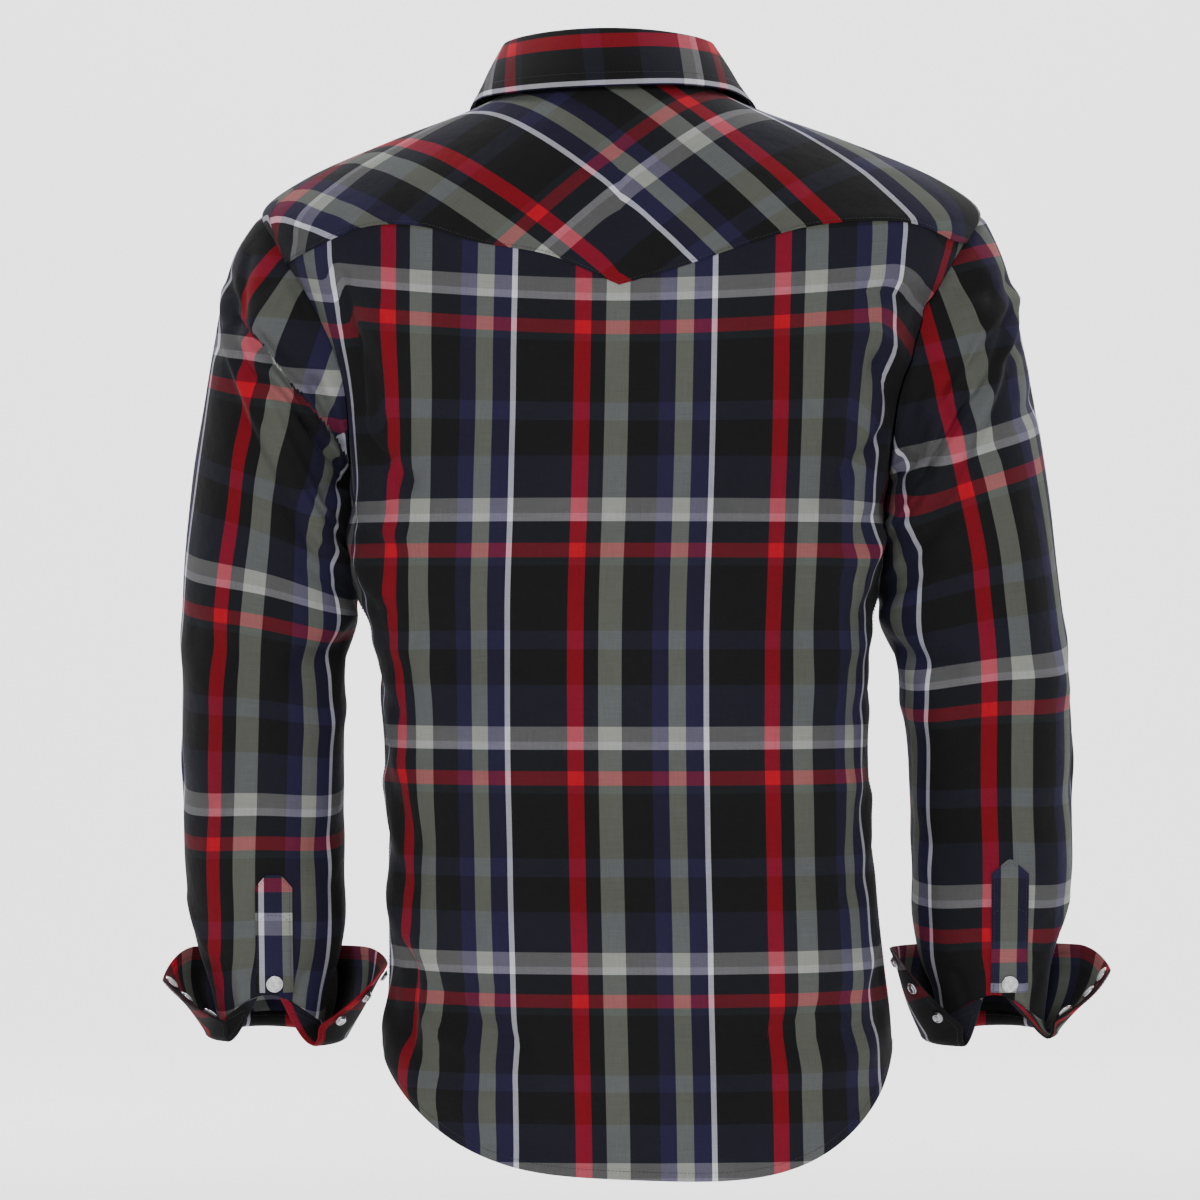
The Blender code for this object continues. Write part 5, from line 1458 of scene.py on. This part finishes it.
def collar_grid():
    """Rows from the stand's upper edge over the roll and down to the fall's edge."""
    end = band_edge(BAND_WIDTH / 2, -1)
    angle = np.linspace(end, -end, COLLAR_COLUMNS)
    angle = angle[np.abs(angle) < COLLAR_START]
    top = stand_top(angle)
    outward = level_outward(angle)
    along_top = unit(np.gradient(top, axis=0))
    up = unit(np.cross(along_top, np.cross(np.array([0.0, 0.0, 1.0]), along_top)))
    edge_angle = COLLAR_END * angle / COLLAR_START
    table = np.array(COLLAR_EDGE)
    fall = through(np.radians(table[:, 0]), table[:, 1:], edge_angle)
    edge = torso(edge_angle, NECKLINE - fall[:, 0], fall[:, 1])
    rows = [top + outward * away + up * rise for away, rise in COLLAR_ROLL]
    start = rows[-1]
    for drop in COLLAR_DROPS:
        bow = COLLAR_BOW * math.sin(math.pi * drop)
        rows.append(start * (1 - drop) + edge * drop + outward * bow)
    return smooth_rows(rows, COLLAR_ROWS)


collar_points = collar_grid()
rise = lengths_up(collar_points)
rise = rise[:, -1:] - rise
collar_u = np.interp(rise, COLLAR_RISES, COLLAR_WARP)
from_middle = lengths_along(collar_points)
from_middle -= from_middle[len(from_middle) // 2]
back_half = collar_points[:, -1, 1] < 0
row_start = np.interp(COLLAR_ROW_X, collar_points[back_half, -1, 0], from_middle[back_half, -1])
collar_flat = joined(collar_u, (row_start - from_middle) / COLLAR_STRETCH)
collar = cloth_piece("cloth_collar", collar_points, grid_normals(collar_points), FUSED, collar_flat,
                     FUSED_SHIRTING)

# %% [markdown]
# ## Cuffs and sleeve plackets
# The cuffs hang open, folded back into a cup round the end of each sleeve. A simulation of a stiff
# strip would land a little differently on each side, so the cup is built by rule: from the seam down,
# round the fold and up to the free edge, with both ends swung outwards. The placket is a strip with a
# chamfered top that lies on the sleeve over its slit, so it is made from points of the sleeve.

# %% The cuff's form
CuffEnd = namedtuple("CuffEnd", "seam_gap fold_gap room drop z_corner")
Cuff = namedtuple("Cuff", "outer inner x_centre half_width y_open depth z_far end_turn")
CUFF_LEFT = Cuff(CuffEnd(12, 40, 0.0090, 0.0085, -0.6090), CuffEnd(12, 42, 0.0165, 0.0115, -0.5985),
                 -0.2417, 0.0785, -0.022, 0.070, -0.5885, 1.68)
CUFF_RIGHT = Cuff(CuffEnd(12, 66, 0.0100, 0.0075, -0.6020), CuffEnd(12, 28, 0.0120, 0.0115, -0.5870),
                  0.2664, 0.0770, -0.022, 0.070, -0.5870, 1.68)
CUFFS = {-1: CUFF_LEFT, 1: CUFF_RIGHT}
CUFF_COLUMNS = 111
CUFF_ROWS = 46
CUFF_SLIT = math.radians(12)
CUFF_BELLY = 0.0060
CUFF_ROLL = ((0.0, 0.0, 0.0), (0.0, 0.5, 0.45), (0.15, 0.85, 0.8), (0.5, 1.0, 1.0), (0.85, 0.88, 1.0),
             (1.0, 0.6, 1.0))
CUFF_RISES = (0.16, 0.34, 0.52, 0.68, 0.84, 1.0)


def cuff_grid(side):
    """Points of a cuff: across its length, and from its seam down, round the fold and up."""
    turn = np.linspace(-1, 1, CUFF_COLUMNS) * (math.pi - CUFF_SLIT)
    cuff = CUFFS[side]
    wrist = SLEEVE_RINGS[side][-1]
    share = turn / (math.pi - CUFF_SLIT)
    seam_gap, fold_gap, _, _, z_corner = np.where(share[:, None] < 0, cuff.outer, cuff.inner).T
    blend = smooth_step(share, -0.4, 0.4)
    room = cuff.outer.room * (1 - blend) + cuff.inner.room * blend
    drop = cuff.outer.drop * (1 - blend) + cuff.inner.drop * blend
    fold_turn = turn - np.sign(turn) * np.radians(fold_gap - seam_gap) * np.abs(share) ** 3
    middle = np.array([(wrist.x_outer + wrist.x_inner) / 2, wrist.y_mid, 0.0])
    radii = np.array([abs(wrist.x_outer - wrist.x_inner) / 2, wrist.half_depth, 0.0])
    z_fold = wrist.z_outer - SEAM_GAP - drop + FAR_RISE * ((1 + np.cos(turn)) / 2) ** 2
    z_seam = wrist.z_outer - SEAM_GAP + wrist.rise * cuff_rise(np.cos(turn))
    lines = []
    for away, down, slide in CUFF_ROLL:
        row_turn = turn * (1 - slide) + fold_turn * slide
        outward = joined(-side * np.sin(row_turn), np.cos(row_turn), 0 * turn)
        line = middle + outward * radii + outward * (room * away)[:, None]
        line[:, 2] = z_seam + (z_fold - z_seam) * down
        lines.append(line)
    wing = cuff.end_turn * share
    lip = joined(cuff.x_centre - side * np.sin(wing) * cuff.half_width,
                 wrist.y_mid + cuff.y_open + np.cos(wing) * cuff.depth,
                 cuff.z_far + (z_corner - cuff.z_far) * smooth_step(np.abs(share), 0.5, 1.0))
    start = lines[-1]
    for rise_share in CUFF_RISES:
        bow = CUFF_BELLY * math.sin(math.pi * rise_share)
        lines.append(start * (1 - rise_share) + lip * rise_share + outward * bow)
    return smooth_rows(lines, CUFF_ROWS)


CUFF_POINTS = {side: cuff_grid(side) for side in SIDES}
print("cuffs of", CUFF_COLUMNS, "by", CUFF_ROWS, "points")

# %% Both cuffs
# A cuff is cut twice and sewn face to face. A red row of the check runs along the free edge of its
# lining and a grey one along that of its outer face. Both ends of the lining are black.
LINING_EDGE = -0.0303
OUTER_EDGE = 0.0030
CUFF_SPANS = {-1: (0.0060, 0.3266), 1: (0.0385, 0.3161)}  # from end to end, left to right


def make_cuff(side):
    points = CUFF_POINTS[side]
    normals = grid_normals(points)
    along = lengths_along(points[:, -1:])
    up = lengths_up(points)
    start, end = CUFF_SPANS[side]
    u = start + along / along[-1:] * (end - start) + 0 * up
    lining, outer = (joined(u, edge - (up[:, -1:] - up)) for edge in (LINING_EDGE, OUTER_EDGE))
    outside_first = normals[len(points) // 2, -3, 1] > 0
    faces = (outer, lining) if outside_first else (lining, outer)
    return cloth_piece(f"cloth_cuff_{SIDES[side]}", points, normals, FUSED, faces[0], FUSED_SHIRTING,
                       under_flat=faces[1])


cuff_left = make_cuff(-1)
cuff_right = make_cuff(1)

# %% Sleeve plackets
Placket = namedtuple("Placket", "x_top x_bottom z_top z_corner chamfer turn u v")
PLACKET_WIDTH = 0.0255
PLACKET_BOTTOM = -0.6170
PLACKETS = {
    -1: Placket(-0.2412, -0.2412, -0.5340, -0.5430, 0.6, 180.0, -0.0055, -0.0423),
    1: Placket(0.2710, 0.2716, -0.5230, -0.5330, 0.9, 180.0, 0.1180, -0.1030),
}
PLACKET_COLUMNS = 13
PLACKET_ROWS = 25
NEAR_WRIST_TURNS = np.linspace(0.5, 2.6, 121)
NEAR_WRIST_ALONGS = np.linspace(0.62, 0.999, 181)


def near_wrist(side):
    """The sleeve's back near the wrist, worked out once: plain points, creased points, normals."""
    place = (side, NEAR_WRIST_TURNS, NEAR_WRIST_ALONGS)
    return plain_sleeve(*place), sleeve(*place), sleeve_normals(*place)


NEAR_WRIST = {side: near_wrist(side) for side in SIDES}


def on_sleeve(side, x, z, out):
    """The point of the sleeve's back at a given x and z, moved out."""
    plain, creased, normals = NEAR_WRIST[side]
    miss = (plain[:-1, :-1, 0] - x) ** 2 + (plain[:-1, :-1, 2] - z) ** 2
    j, i = np.unravel_index(np.argmin(miss), miss.shape)
    slopes = joined(plain[j + 1, i] - plain[j, i], plain[j, i + 1] - plain[j, i])[[0, 2]]
    a, b = np.linalg.solve(slopes, np.array([x, z]) - plain[j, i, [0, 2]])
    point = creased[j, i] + a * (creased[j + 1, i] - creased[j, i]) + b * (creased[j, i + 1] - creased[j, i])
    return point + normals[j, i] * out


def placket_place(side, across, share):
    """The x and z of a place on a placket: across from -1 to 1, share from the bottom up."""
    cut = PLACKETS[side]
    top = cut.z_corner + (cut.z_top - cut.z_corner) * min(1.0, (1 - abs(across)) / cut.chamfer)
    x = cut.x_top + (cut.x_bottom - cut.x_top) * (1 - share) + across * PLACKET_WIDTH / 2
    return x, PLACKET_BOTTOM + (top - PLACKET_BOTTOM) * share


def on_placket(side, across, share, out):
    return on_sleeve(side, *placket_place(side, across, share), out)


def make_placket(side):
    cut = PLACKETS[side]
    crosses = np.linspace(-1, 1, PLACKET_COLUMNS)
    shares = np.linspace(0, 1, PLACKET_ROWS)
    points = np.array([[on_placket(side, a, s, LAID_ON + CLOTH / 2) for s in shares] for a in crosses])
    flat = np.array([[placket_place(side, a, s) for s in shares] for a in crosses])
    flat = turned(flat - (cut.x_bottom, cut.z_top), cut.turn, (cut.u, cut.v))
    return cloth_piece(f"cloth_placket_{SIDES[side]}", points, grid_normals(points), CLOTH, flat,
                       FUSED_SHIRTING)


placket_left = make_placket(-1)
placket_right = make_placket(1)

# %% [markdown]
# ## Stitching
# Every edge of the shirt is held by a row of small stitches. A drawn line would be flat, and a chain
# of hand-placed objects would be slow. Geometry Nodes take lines that lie on the cloth, set points
# along them at the stitch's pitch, and put one short thread on each point.

# %% Thread and the stitch tree
PAINTED_TWIST_SHADE = 0.6  # painted shade: how much darker the thread's colour is in the grooves between its turns


def thread(name, colour):
    """Twisted sewing thread: a slight gloss, a fine twist, and painted shade in the grooves between its
    turns.
    """
    made, tree, shader = new_material(name, Roughness=0.55, Sheen_Weight=0.1)
    place = add_node(tree, "ShaderNodeTexCoord").outputs["Object"]
    twist = add_node(tree, "ShaderNodeTexWave", {"Vector": place, "Scale": 900.0, "Distortion": 2.0})
    # painted shade: the colour is darkened where the twist is low, in the grooves between its turns
    shades = add_node(tree, "ShaderNodeValToRGB", {"Fac": twist.outputs["Fac"]})
    light = linear(colour)
    shades.color_ramp.elements[0].color = (*[PAINTED_TWIST_SHADE * c for c in light[:3]], 1.0)
    shades.color_ramp.elements[1].color = light
    tree.links.new(shades.outputs["Color"], shader.inputs["Base Color"])
    bump = add_node(tree, "ShaderNodeBump",
                    {"Height": twist.outputs["Fac"], "Strength": 0.5, "Distance": 0.0001})
    tree.links.new(bump.outputs[0], shader.inputs["Normal"])
    return made


def new_tree(name, *inputs):
    """A geometry tree with named number inputs, its group input and its output."""
    tree = bpy.data.node_groups.new(name, "GeometryNodeTree")
    tree.interface.new_socket("Geometry", in_out="INPUT", socket_type="NodeSocketGeometry")
    for label in inputs:
        tree.interface.new_socket(label, in_out="INPUT", socket_type="NodeSocketFloat")
    tree.interface.new_socket("Geometry", in_out="OUTPUT", socket_type="NodeSocketGeometry")
    return tree, tree.nodes.new("NodeGroupInput").outputs, tree.nodes.new("NodeGroupOutput").inputs


def finish_tree(tree, geometry, finish, target):
    """Realize the instances, smooth them and give them their material."""
    real = add_node(tree, "GeometryNodeRealizeInstances", {0: geometry})
    smooth = add_node(tree, "GeometryNodeSetShadeSmooth", {0: real})
    dressed = add_node(tree, "GeometryNodeSetMaterial", {0: smooth, "Material": finish})
    tree.links.new(dressed.outputs[0], target[0])


def stitch_tree(finish):
    """Short threads along the edges of a mesh of lines."""
    tree, given, target = new_tree("stitch_row", "pitch", "length", "thickness")
    line = add_node(tree, "GeometryNodeMeshToCurve", {0: given["Geometry"]})
    points = add_node(tree, "GeometryNodeResampleCurve", {"Curve": line, "Length": given["pitch"]},
                      mode="LENGTH")
    ball = add_node(tree, "GeometryNodeMeshIcoSphere", {"Radius": 0.5, "Subdivisions": 1})
    size = add_node(tree, "ShaderNodeCombineXYZ",
                    {"X": given["length"], "Y": given["thickness"], "Z": given["thickness"]})
    short = add_node(tree, "GeometryNodeTransform", {0: ball, "Scale": size})
    way = add_node(tree, "GeometryNodeInputTangent")
    turn = add_node(tree, "FunctionNodeAlignRotationToVector", {"Vector": way}, axis="X")
    rows = add_node(tree, "GeometryNodeInstanceOnPoints",
                    {"Points": points, "Instance": short, "Rotation": turn})
    finish_tree(tree, rows.outputs[0], finish, target)
    return tree


def grown(name, base, tree, finish, **values):
    """Run a tree on a base mesh and keep the result as a plain mesh."""
    item = put(name, base)
    modifier = item.modifiers.new("grow", "NODES")
    modifier.node_group = tree
    for socket in tree.interface.items_tree:
        if socket.in_out == "INPUT" and socket.name in values:
            modifier[socket.identifier] = values[socket.name]
    evaluated = item.evaluated_get(bpy.context.evaluated_depsgraph_get())
    mesh = bpy.data.meshes.new_from_object(evaluated)
    item.modifiers.remove(modifier)
    item.data = mesh
    if not mesh.materials:
        mesh.materials.append(finish)
    print(name, len(mesh.polygons), "faces")
    return item


def line_mesh(name, lines):
    """A mesh of open lines."""
    corners = np.concatenate(lines)
    edges, start = [], 0
    for line in lines:
        edges += [(start + i, start + i + 1) for i in range(len(line) - 1)]
        start += len(line)
    mesh = bpy.data.meshes.new(name)
    mesh.from_pydata(corners.tolist(), edges, [])
    return mesh


# %% Where the rows of stitches run
ON_CLOTH = 0.00005  # a stitch lies half sunk in the cloth
HEM_STITCH = 0.0060  # distances of the rows from an edge or a seam
EDGE_STITCH = 0.0018
TOP_STITCH = 0.0055


def beside(line, distance):
    """A line of (angle, level) places moved sideways by a distance on the body."""
    ahead, behind = (plain_torso(line[:, 0] + step, line[:, 1]) for step in (NUDGE, -NUDGE))
    around = (ahead - behind) / (2 * NUDGE)
    scale = joined(np.linalg.norm(around, axis=-1), np.ones(len(line)))
    metres = np.gradient(line, axis=0) * scale
    across = unit(joined(-metres[:, 1], metres[:, 0]))
    return line + across * distance / scale


def body_line(line, distance, out=ON_CLOTH):
    moved = beside(np.asarray(line), distance)
    return torso(moved[:, 0], moved[:, 1], out)


def grid_line(points, normals, thickness, column=None, row=None):
    """A line on the outer face of a piece, along a column or a row of its grid."""
    place = (slice(None), row) if column is None else (column, slice(None))
    return points[place] + normals[place] * (thickness / 2 + ON_CLOTH)


def body_rows():
    hems = [body_line(BACK[2:-2, 0], HEM_STITCH, HEM_THICK + ON_CLOTH),
            body_line(FRONT_LEFT[1:-2, 0][::-1], HEM_STITCH, HEM_THICK + ON_CLOTH)[::-1],
            body_line(FRONT_RIGHT[1:-2, 0], -HEM_STITCH, HEM_THICK + ON_CLOTH)]
    seams = [body_line(SEAM[1:-1], EDGE_STITCH, YOKE_LAP + ON_CLOTH),
             body_line(SEAM[1:-1], TOP_STITCH, ON_CLOTH)]
    seams += [body_line(BACK[column, 3:SIDE_ROWS - 1], way * distance)
              for distance in (EDGE_STITCH, TOP_STITCH) for column, way in ((0, -1), (-1, 1))]
    return hems + seams


def band_rows():
    return [body_line(BAND[column, 2:-2], 0.0, BAND_LIFT + ON_CLOTH) for column in (1, 2, -3, -2)]


rows_on_body = body_rows() + band_rows()
print("rows on the body:", len(rows_on_body))

# %% Rows on collar, cuffs and plackets
def offset_rows(points, thickness, side_sign, columns, rows):
    """Lines on one face of a grid piece, along the named columns and rows."""
    normals = grid_normals(points) * side_sign
    lines = [grid_line(points, normals, thickness, column=c)[3:-3] for c in columns]
    return lines + [grid_line(points, normals, thickness, row=r)[3:-3] for r in rows]


collar_side = -np.sign(grid_normals(collar_points)[len(collar_points) // 2, -3, 1])
collar_rows = offset_rows(collar_points, FUSED, collar_side, (4, -5), (-5,))
stand_rows = [stand_points[:, 1] + grid_normals(stand_points)[:, 1] * ON_CLOTH]


def cuff_rows(side):
    lines = []
    for face in (-1.0, 1.0):
        lines += offset_rows(CUFF_POINTS[side], FUSED, face, (2, -3), (2, -4))
    return lines


PLACKET_INSET = 0.86  # share of the placket's half width
SLIT_END = 0.66  # shares of its length, from the bottom up
STITCH_BOTTOM = 0.03
STITCH_TOP = 0.975


def placket_rows(side):
    """Up one edge, over the chamfered top, down the other, and once across where the slit ends."""
    up = np.linspace(STITCH_BOTTOM, STITCH_TOP, 22)
    over = np.linspace(-PLACKET_INSET, PLACKET_INSET, 15)[1:-1]
    places = [(-PLACKET_INSET, share) for share in up] + [(across, STITCH_TOP) for across in over]
    places += [(PLACKET_INSET, share) for share in up[::-1]]
    bar = [(across, SLIT_END) for across in np.linspace(-PLACKET_INSET, PLACKET_INSET, 9)]
    out = LAID_ON + CLOTH + ON_CLOTH
    return [np.array([on_placket(side, *place, out) for place in line]) for line in (places, bar)]


DARK_THREAD = thread("dark_thread", "#15151a")
STITCHES = stitch_tree(DARK_THREAD)
SEWING = dict(pitch=0.0026, length=0.0021, thickness=0.00042)
dark_lines = rows_on_body + collar_rows + stand_rows + cuff_rows(-1) + cuff_rows(1)
stitches = grown("stitching_dark", line_mesh("dark_rows", dark_lines), STITCHES, DARK_THREAD, **SEWING)
placket_lines = placket_rows(-1) + placket_rows(1)
placket_stitches = grown("stitching_plackets", line_mesh("placket_lines", placket_lines), STITCHES,
                         DARK_THREAD, **SEWING)

# %% [markdown]
# ## Snaps
# A pearl snap is a shell-like disc held in a thin metal ring. The CAD domes have the right size and
# stay, with a finish of their own, and a ring is laid round each of them. The rings are the same
# every time, so one ring is built in Geometry Nodes and set on a point at each snap.

# %% Pearl and steel
def pearl_finish():
    """Mother-of-pearl: milky, with clouds of warm and cool tint under a clear coat."""
    made, tree, shader = new_material("pearl_shell", Roughness=0.22, Coat_Weight=0.7, Coat_Roughness=0.08)
    place = add_node(tree, "ShaderNodeTexCoord").outputs["Object"]
    cloud = add_node(tree, "ShaderNodeTexNoise",
                     {"Vector": place, "Scale": 260.0, "Detail": 3.0, "Distortion": 1.4})
    tint = add_node(tree, "ShaderNodeValToRGB", {"Fac": cloud.outputs["Fac"]})
    stops = tint.color_ramp.elements
    stops[0].position, stops[1].position = 0.32, 0.68
    stops.new(0.5)
    for stop, colour in zip(stops, ("#b9bcc6", "#dcdad8", "#efeef0")):
        stop.color = linear(colour)
    tree.links.new(tint.outputs["Color"], shader.inputs["Base Color"])
    bump = add_node(tree, "ShaderNodeBump",
                    {"Height": cloud.outputs["Fac"], "Strength": 0.2, "Distance": 0.0002})
    tree.links.new(bump.outputs[0], shader.inputs["Normal"])
    return made


RUB_SHADE = 0.75  # how much darker and rougher the rub marks are
RUB_ROUGHNESS = 0.14


def steel_finish(name, colour, roughness):
    """Plated steel with fine rub marks."""
    made, tree, shader = new_material(name, Metallic=1.0)
    place = add_node(tree, "ShaderNodeTexCoord").outputs["Object"]
    rub = add_node(tree, "ShaderNodeTexNoise", {"Vector": place, "Scale": 1500.0, "Detail": 3.0})
    shades = add_node(tree, "ShaderNodeValToRGB", {"Fac": rub.outputs["Fac"]})
    bright = linear(colour)
    shades.color_ramp.elements[0].color = (*[RUB_SHADE * c for c in bright[:3]], 1.0)
    shades.color_ramp.elements[1].color = bright
    tree.links.new(shades.outputs["Color"], shader.inputs["Base Color"])
    gloss = add_node(tree, "ShaderNodeMath", {0: rub.outputs["Fac"], 1: RUB_ROUGHNESS, 2: roughness},
                     operation="MULTIPLY_ADD")
    tree.links.new(gloss.outputs[0], shader.inputs["Roughness"])
    return made


PEARL = pearl_finish()
STEEL = steel_finish("plated_steel", "#c4c4c8", 0.20)
SILVER = steel_finish("bright_ring", "#e2e2e6", 0.12)


def node_object(name):
    return bpy.data.objects[name] if name in bpy.data.objects else frame["nodes"][name]


CAPS = [n for n in frame["nodes"] if n.startswith("snap_") and "_stud_" not in n]
STUDS = [n for n in frame["nodes"] if "_stud_" in n]
for name in CAPS + STUDS:
    node_object(name).data.materials.clear()
    node_object(name).data.materials.append(PEARL if name in CAPS else STEEL)
print(len(CAPS), "caps and", len(STUDS), "studs")


# %% Rings
def snap_seat(name):
    """The middle of a snap's foot and the direction that it faces."""
    mesh = node_object(name).data
    corners = np.zeros(len(mesh.vertices) * 3)
    mesh.vertices.foreach_get("co", corners)
    corners = np.unique(corners.reshape(-1, 3).round(6), axis=0)
    middle = corners.mean(axis=0)
    outward = np.linalg.svd(corners - middle)[2][2]
    heights = (corners - middle) @ outward
    if abs(heights.min()) > heights.max():
        outward, heights = -outward, -heights
    return middle + outward * heights.min(), outward


def ring_tree(finish):
    """A ring on each point, facing the way its point says."""
    tree, given, target = new_tree("snap_ring", "radius", "thickness")
    sizes = ({"Resolution": 32, "Radius": given["radius"]}, {"Resolution": 8, "Radius": given["thickness"]})
    circle, wire = (add_node(tree, "GeometryNodeCurvePrimitiveCircle", size) for size in sizes)
    ring = add_node(tree, "GeometryNodeCurveToMesh", {"Curve": circle, "Profile Curve": wire})
    way = add_node(tree, "GeometryNodeInputNamedAttribute", {"Name": "outward"}, data_type="FLOAT_VECTOR")
    turn = add_node(tree, "FunctionNodeAlignRotationToVector", {"Vector": way}, axis="Z")
    rings = add_node(tree, "GeometryNodeInstanceOnPoints",
                     {"Points": given["Geometry"], "Instance": ring, "Rotation": turn})
    finish_tree(tree, rings.outputs[0], finish, target)
    return tree


def rings_on(name, snaps, lift, radius, thickness):
    """A ring round each snap, lifted from its foot. Thickness is the radius of the wire."""
    seats = [snap_seat(snap) for snap in snaps]
    base = bpy.data.meshes.new(name)
    base.from_pydata([(foot + outward * lift).tolist() for foot, outward in seats], [], [])
    facing = base.attributes.new("outward", "FLOAT_VECTOR", "POINT")
    facing.data.foreach_set("vector", np.concatenate([outward for _, outward in seats]))
    return grown(name, base, RINGS, SILVER, radius=radius, thickness=thickness)


RINGS = ring_tree(SILVER)
cap_rings = rings_on("cap_rings", CAPS, 0.0007, 0.0055, 0.0006)
stud_rings = rings_on("stud_rings", STUDS, 0.0020, 0.0028, 0.0005)

# %% [markdown]
# ## Each cloth piece in place of its solid
# Every cloth piece replaces its plain solid and rides on the shirt's body, and its area is printed
# beside the area it was cut to. Stitches and rings only ride along.

# %% Cloth pieces
Cut = namedtuple("Cut", "piece node slot width length area")
CUTS = (
    Cut(back, "back", "shirting", 0.470, 0.665, 0.287),
    Cut(yoke, "back_yoke", "bias_shirting", 0.500, 0.250, 0.085),
    Cut(front_left, "front_left", "shirting", 0.270, 0.720, 0.157),
    Cut(front_right, "front_right", "shirting", 0.310, 0.720, 0.183),
    Cut(band, "front_band", "doubled_shirting", 0.034, 0.720, 0.0235),
    Cut(sleeve_left, "sleeve_left", "shirting", 0.410, 0.600, 0.173),
    Cut(sleeve_right, "sleeve_right", "shirting", 0.410, 0.600, 0.173),
    Cut(collar, "collar", "doubled_shirting", 0.450, 0.080, 0.0300),
    Cut(stand, "collar_stand", "doubled_shirting", 0.430, 0.042, 0.0132),
    Cut(cuff_left, "cuff_left", "doubled_shirting", 0.270, 0.078, 0.0190),
    Cut(cuff_right, "cuff_right", "doubled_shirting", 0.270, 0.078, 0.0180),
    Cut(placket_left, "placket_left", "shirting", 0.0255, 0.085, 0.0020),
    Cut(placket_right, "placket_right", "shirting", 0.0255, 0.090, 0.0021),
)


def cloth_area(mesh):
    """Half the surface of a thin closed piece."""
    areas = np.zeros(len(mesh.polygons))
    mesh.polygons.foreach_get("area", areas)
    return areas.sum() / 2


for cut in CUTS:
    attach(cut.piece, "root")
    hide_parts(cut.node)
    print(cut.node, "area", round(cloth_area(cut.piece.data), 4), "cut", cut.area)

# %% Stitches and rings
for piece, slot in ((stitches, "doubled_shirting"), (placket_stitches, "doubled_shirting"),
                    (cap_rings, "steel_snap"), (stud_rings, "steel_snap")):
    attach(piece, "root")
